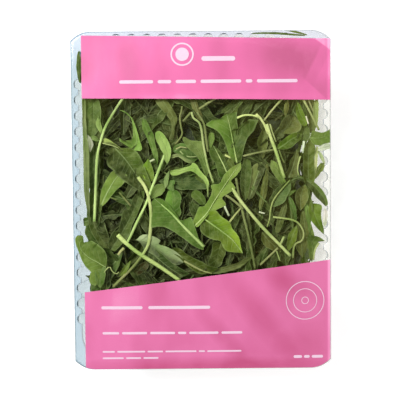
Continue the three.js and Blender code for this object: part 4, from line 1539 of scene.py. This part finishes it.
# Where the painted shade begins and is full, in metres: towards the top edge, towards the left, up to
# the flange's surface and up the walls
TOP_PAINTED_SHADE = (0.095, 0.111)
LEFT_PAINTED_SHADE = (-0.02, -0.085)
FLANGE_PAINTED_SHADE = (0.0536, 0.0539)
WALL_PAINTED_SHADE = (0.030, 0.045)
WALL_PAINTED_SHADE_SHARE = 0.6
PAINTED_SHADE_HAZE = 0.34
# How much of the sheet is seen, face on and at a glancing angle
TRAY_SHARES = (0.12, 0.50)


def tray_looks():
    """Clear sheet with darker lines painted where it bends, as painted shade.

    It is painted bluish and darker on the left and along the top rim, as painted shade. Towards the
    left and the top the lines are fainter, and the flange there carries that painted shade.
    """
    looks = Looks("tray_clear")
    where = looks.place()
    x, y, z = looks.axes(where)
    ripple = looks.noise(where, 120.0, 3.0, 0.55)
    grain = looks.noise(where, 840.0, 2.0)
    normal = looks.bump(looks.plus(ripple, looks.times(grain, 0.15)), 0.25, 0.0012)
    bend = looks.node("ShaderNodeAttribute", attribute_name="bend").outputs["Fac"]
    line = looks.times(bend, looks.ramp(ripple, 0.30, 0.62, 0.32, 0.65))
    topness = looks.ramp(y, *TOP_PAINTED_SHADE)
    line = looks.times(line, looks.ramp(topness, 0.0, 1.0, 1.0, 0.3))
    leftness = looks.ramp(x, *LEFT_PAINTED_SHADE)
    line = looks.times(line, looks.ramp(leftness, 0.0, 1.0, 1.0, 0.65))
    on_flange = looks.ramp(z, *FLANGE_PAINTED_SHADE)
    up_wall = looks.ramp(z, *WALL_PAINTED_SHADE, 0.0, WALL_PAINTED_SHADE_SHARE)
    near_flange = looks.plus(up_wall, looks.times(on_flange, 1 - WALL_PAINTED_SHADE_SHARE))
    top_rim = looks.times(topness, near_flange)
    # Painted shade with a haze on the left flange and along the top rim
    painted_shade_rim = looks.math("MAXIMUM", looks.times(leftness, on_flange), top_rim)
    haze = looks.times(painted_shade_rim, PAINTED_SHADE_HAZE)
    share = looks.plus(glancing_share(looks, normal, *TRAY_SHARES), looks.plus(line, haze))
    body = looks.mix(leftness, WALL_BODY["right"], WALL_BODY["left"])
    flange_body = looks.mix(leftness, FLANGE_BODY["right"], FLANGE_BODY["left"])
    body = looks.mix(painted_shade_rim, body, flange_body)
    # Painted shade: the bends darken towards a grey line.
    dark_bend = looks.times(bend, looks.ramp(topness, 0.0, 1.0, 1.0, 0.2))
    body = looks.mix(dark_bend, body, BEND_BODY)
    clear = looks.mix(leftness, CLEAR["right"], CLEAR["left"])
    clear = looks.mix(top_rim, clear, CLEAR["top"])
    return clear_skin(looks, share, body, 0.12, normal, clear)


# The film's own colour, seen at a glancing angle and in the haze, which is a painted reflection
FILM_BODY = (0.60, 0.57, 0.12)
FILM_CLEAR = (0.985, 0.985, 0.975)
FILM_SHARES = (0.004, 0.35)


def film_looks():
    """Clear taut film, with a painted reflection as a haze that grows towards the right and the top."""
    looks = Looks("film_clear")
    where = looks.place()
    x, y, _ = looks.axes(where)
    ripple = looks.noise(where, 45.0, 3.0, 0.55)
    grain = looks.noise(where, 315.0, 2.0)
    normal = looks.bump(looks.plus(ripple, looks.times(grain, 0.15)), 0.3, 0.0012)
    # Painted reflection: a haze that grows towards the right and the top, patchy with the ripples
    haze = looks.plus(looks.ramp(x, 0.01, 0.085, 0.0, 0.030), looks.ramp(y, 0.02, 0.075, 0.0, 0.014))
    haze = looks.times(haze, looks.ramp(ripple, 0.3, 0.7, 0.4, 1.6))
    share = looks.plus(glancing_share(looks, normal, *FILM_SHARES), haze)
    return clear_skin(looks, share, FILM_BODY, 0.16, normal, FILM_CLEAR)


# Painted light and shade on the print: x, y, reach along and across, turn in degrees, whether a fold
# cuts it, and how much deeper it is as painted shade; below 0, how much lighter as painted light
TOP_LIGHT_AND_SHADE = [
    (56, 99, 36, 17, -8, False, 0.50),
    (78, 96, 19, 24, 64, True, 0.42),
    (84, 93, 17, 14, 244, True, -0.18),
    (-48, 99, 14, 20, 25, False, 0.20),
    (-80, 92, 9, 14, 0, False, 0.45),
    (80, 76, 16, 14, -42, True, 0.40),
    (81, 109.5, 15, 13, -36, True, -0.75),
    (10, 72, 90, 5, 0, False, -0.25),
]
BOTTOM_LIGHT_AND_SHADE = [
    (40, -80, 44, 12, -52, False, 0.45),
    (12, -92, 34, 8, -48, False, 0.35),
    (70, -102, 26, 20, 30, False, 0.40),
    (62, -58, 30, 10, -25, False, 0.35),
    (-66, -72, 30, 16, 15, False, -0.12),
    (0, -117, 120, 9, 0, False, 0.75),
]


PINKS_TOP = {"light": (0.745, 0.153, 0.368), "deep": (0.50, 0.100, 0.225)}
PINKS_BOTTOM = {"light": (0.69, 0.165, 0.362), "deep": (0.48, 0.070, 0.185)}
FOLD_HIGHLIGHT_PINK = (0.90, 0.40, 0.62)
BACKING_PINK = (1.0, 0.45, 0.70)
PRINT_COVER = 0.97
# Where the right edge's paler strip, a painted highlight, begins and is full, in metres
EDGE_HIGHLIGHT_STRIP = (0.0865, 0.0880)


def print_looks(name, pinks, patches):
    """Pink ink on glossy film in cloudy tones, with painted shade and light in soft patches, painted shade
    towards the right and a painted highlight along its right edge.
    """
    looks = Looks(name)
    where = looks.place()
    turned = looks.node("ShaderNodeMapping", {
        "Vector": where, "Rotation": (0.0, 0.0, 0.75), "Scale": (1.0, 0.4, 1.0),
    }).outputs[0]
    cloud = looks.noise(turned, 34.0, 2.0, 0.45)
    grain = looks.noise(where, 1500.0, 2.0)
    x, _, _ = looks.axes(where)
    # Cloudy tones, and painted shade that grows towards the right
    share = looks.plus(looks.ramp(cloud, 0.42, 0.70, 0.0, 0.45), looks.ramp(x, -0.03, 0.07, 0.0, 0.22))
    for *oval, deeper in patches:
        share = looks.plus(share, looks.times(looks.spot(where, *oval), deeper))
    share = looks.math("SUBTRACT", share, looks.ramp(x, *EDGE_HIGHLIGHT_STRIP, 0.0, 0.55))
    share = looks.plus(share, looks.times(looks.math("SUBTRACT", grain, 0.5), 0.12))
    # Below 0 the pink turns to the painted highlight pink, above it to the deeper pink
    colour = looks.mix(looks.ramp(share, -0.5, 0.0), FOLD_HIGHLIGHT_PINK, pinks["light"])
    colour = looks.mix(looks.ramp(share, 0.0, 1.0), colour, pinks["deep"])
    crease = looks.noise(turned, 60.0, 3.0)
    skin = looks.node("ShaderNodeBsdfPrincipled", {
        "Base Color": colour, "Roughness": 0.36, "Specular IOR Level": 0.35,
        "Normal": looks.bump(crease, 0.35, 0.0010),
    })
    through = looks.node("ShaderNodeBsdfTransparent", {"Color": BACKING_PINK})
    return looks.mixed_surface(PRINT_COVER, through, skin)


MARK_PALE = (0.74, 0.54, 0.66)
MARK_WORN = (0.78, 0.42, 0.57)


def mark_looks():
    """Pale ink on the pink, worn thin in specks."""
    looks = Looks("print_white")
    where = looks.place()
    wear = looks.noise(where, 700.0, 3.0, 0.6)
    colour = looks.mix(looks.ramp(wear, 0.4, 0.75, 0.0, 0.35), MARK_PALE, MARK_WORN)
    skin = looks.node("ShaderNodeBsdfPrincipled", {
        "Base Color": colour, "Roughness": 0.36, "Normal": looks.bump(wear, 0.15, 0.0002),
    })
    return looks.surface(skin)


PAPER_COLOURS = ((0.955, 0.955, 0.955), (0.97, 0.97, 0.97))
PAPER_GLOW = 0.55


def floor_looks():
    """White paper that is lit a little from below, as on a light table."""
    looks = Looks("floor_paper")
    where = looks.place()
    cloud = looks.noise(where, 3.0, 2.0)
    colour = looks.mix(looks.ramp(cloud, 0.3, 0.7), *PAPER_COLOURS)
    skin = looks.node("ShaderNodeBsdfPrincipled", {
        "Base Color": colour, "Roughness": 0.9, "Specular IOR Level": 0.1,
        "Emission Color": (1.0, 1.0, 1.0), "Emission Strength": PAPER_GLOW,
    })
    return looks.surface(skin)


# The part

def dress(obj, material, slot, *nodes):
    """Gives a piece its material, hangs it under the root body and hides the nodes of the part it takes the
    place of.
    """
    obj.data.materials.append(material)
    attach(obj, "root")
    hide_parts(*nodes)


def edge_inset_y(sign, inset):
    return lambda x: sign * reach_y(x, inset)


rng = random.Random(SEED)
leaf = leaf_looks()

dress(top_foliage(rng).build("leaves_on_top"), leaf, "leaf", "leaves")

gaps = gap_places()
under = Foliage(painted_shade=lambda place: painted_light_between(gaps, place))
# Painted shade: the filler layers are toned darker than the leaves on top, the deeper layer the darkest.
filler_layer(
    under, rng, count=85, stems=40, depths=(5.0, 8.0), shades=(0.34, 0.66),
    tones=["mid", "haze", "mid", "leafy", "shade", "bright"],
)
filler_layer(
    under, rng, count=100, stems=30, depths=(8.0, 13.0), shades=(0.20, 0.42),
    tones=["mid", "haze", "shade", "deep"],
)
dress(under.build("leaves_below"), leaf, "leaf", "leaves")

outer = Foliage()
wall_layer(outer, rng, gap=3.0, count_per_metre=75, shades=(0.6, 0.9))
wall_layer(outer, rng, gap=0.2, count_per_metre=70, shades=(0.8, 1.1))
floor_layer(outer, rng, count=46)
dress(outer.build("leaves_at_walls"), leaf, "leaf", "leaves")

dress(make_core(), core_looks(), "leaf", "leaves")

dress(make_tray(), tray_looks(), "tray_plastic", "tray")

film = sheet(
    "film_sheet", FILM_EDGE_INSET - HALF_WIDTH, HALF_WIDTH - FILM_EDGE_INSET,
    edge_inset_y(-1, FILM_EDGE_INSET), edge_inset_y(1, FILM_EDGE_INSET),
    rows=118, level=FILM_LEVEL,
)
dress(film, film_looks(), "film", "lid_film")

top_band = sheet(
    "print_top_band", PRINT_LEFT, PRINT_RIGHT,
    slanted(TOP_BAND["lower_left"], TOP_BAND["lower_right"]),
    slanted(TOP_BAND["upper_left"], TOP_BAND["upper_right"]),
    rows=24, level=PRINT_LEVEL,
)
dress(top_band, print_looks("print_pink_top", PINKS_TOP, TOP_LIGHT_AND_SHADE), "print_ink", "print_top")

bottom_band = sheet(
    "print_bottom_band", PRINT_LEFT, PRINT_RIGHT,
    edge_inset_y(-1, 2 * FILM_EDGE_INSET),
    slanted(BOTTOM_BAND["upper_left"], BOTTOM_BAND["upper_right"]),
    rows=40, level=PRINT_LEVEL,
)
pink_bottom = print_looks("print_pink_bottom", PINKS_BOTTOM, BOTTOM_LIGHT_AND_SHADE)
dress(bottom_band, pink_bottom, "print_ink", "print_bottom")

dress(make_marks(), mark_looks(), "print_ink", "print_top", "print_bottom")


# Floor, light and camera

FLOOR_REACH = 3.0
SKY_COLOUR = (1.0, 0.995, 0.985, 1)
SKY_STRENGTH = 0.33
floor_mesh = bpy.data.meshes.new("floor")
corners = [(x * FLOOR_REACH, y * FLOOR_REACH, 0) for x, y in ((-1, -1), (1, -1), (1, 1), (-1, 1))]
floor_mesh.from_pydata(corners, [], [(0, 1, 2, 3)])
floor = bpy.data.objects.new("floor", floor_mesh)
bpy.context.scene.collection.objects.link(floor)
floor.data.materials.append(floor_looks())

scene = bpy.context.scene
scene.view_settings.view_transform = "Standard"
scene.view_settings.look = "None"
world = bpy.data.worlds.new("studio")
world.use_nodes = True
world.node_tree.nodes["Background"].inputs["Color"].default_value = SKY_COLOUR
world.node_tree.nodes["Background"].inputs["Strength"].default_value = SKY_STRENGTH
scene.world = world


def add_light(name, place, size, power):
    """A square soft light that faces the pack."""
    light = bpy.data.lights.new(name, "AREA")
    light.shape = "SQUARE"
    light.size = size
    light.energy = power
    obj = bpy.data.objects.new(name, light)
    obj.location = place
    obj.rotation_euler = (Vector((0, 0, 0.04)) - Vector(place)).to_track_quat("-Z", "Y").to_euler()
    scene.collection.objects.link(obj)


add_light("key", (-0.75, 0.62, 1.25), size=0.5, power=27.6)
add_light("fill", (1.1, -0.5, 1.3), size=1.2, power=6.5)

camera_data = bpy.data.cameras.new("camera")
camera_data.lens = CAMERA_LENS
camera_data.sensor_width = CAMERA_SENSOR
camera_data.clip_start = 0.02
camera = bpy.data.objects.new("camera", camera_data)
camera.matrix_world = Matrix((rightward, upward, -forward)).transposed().to_4x4()
camera.location = camera_place * MM
scene.collection.objects.link(camera)
scene.camera = camera
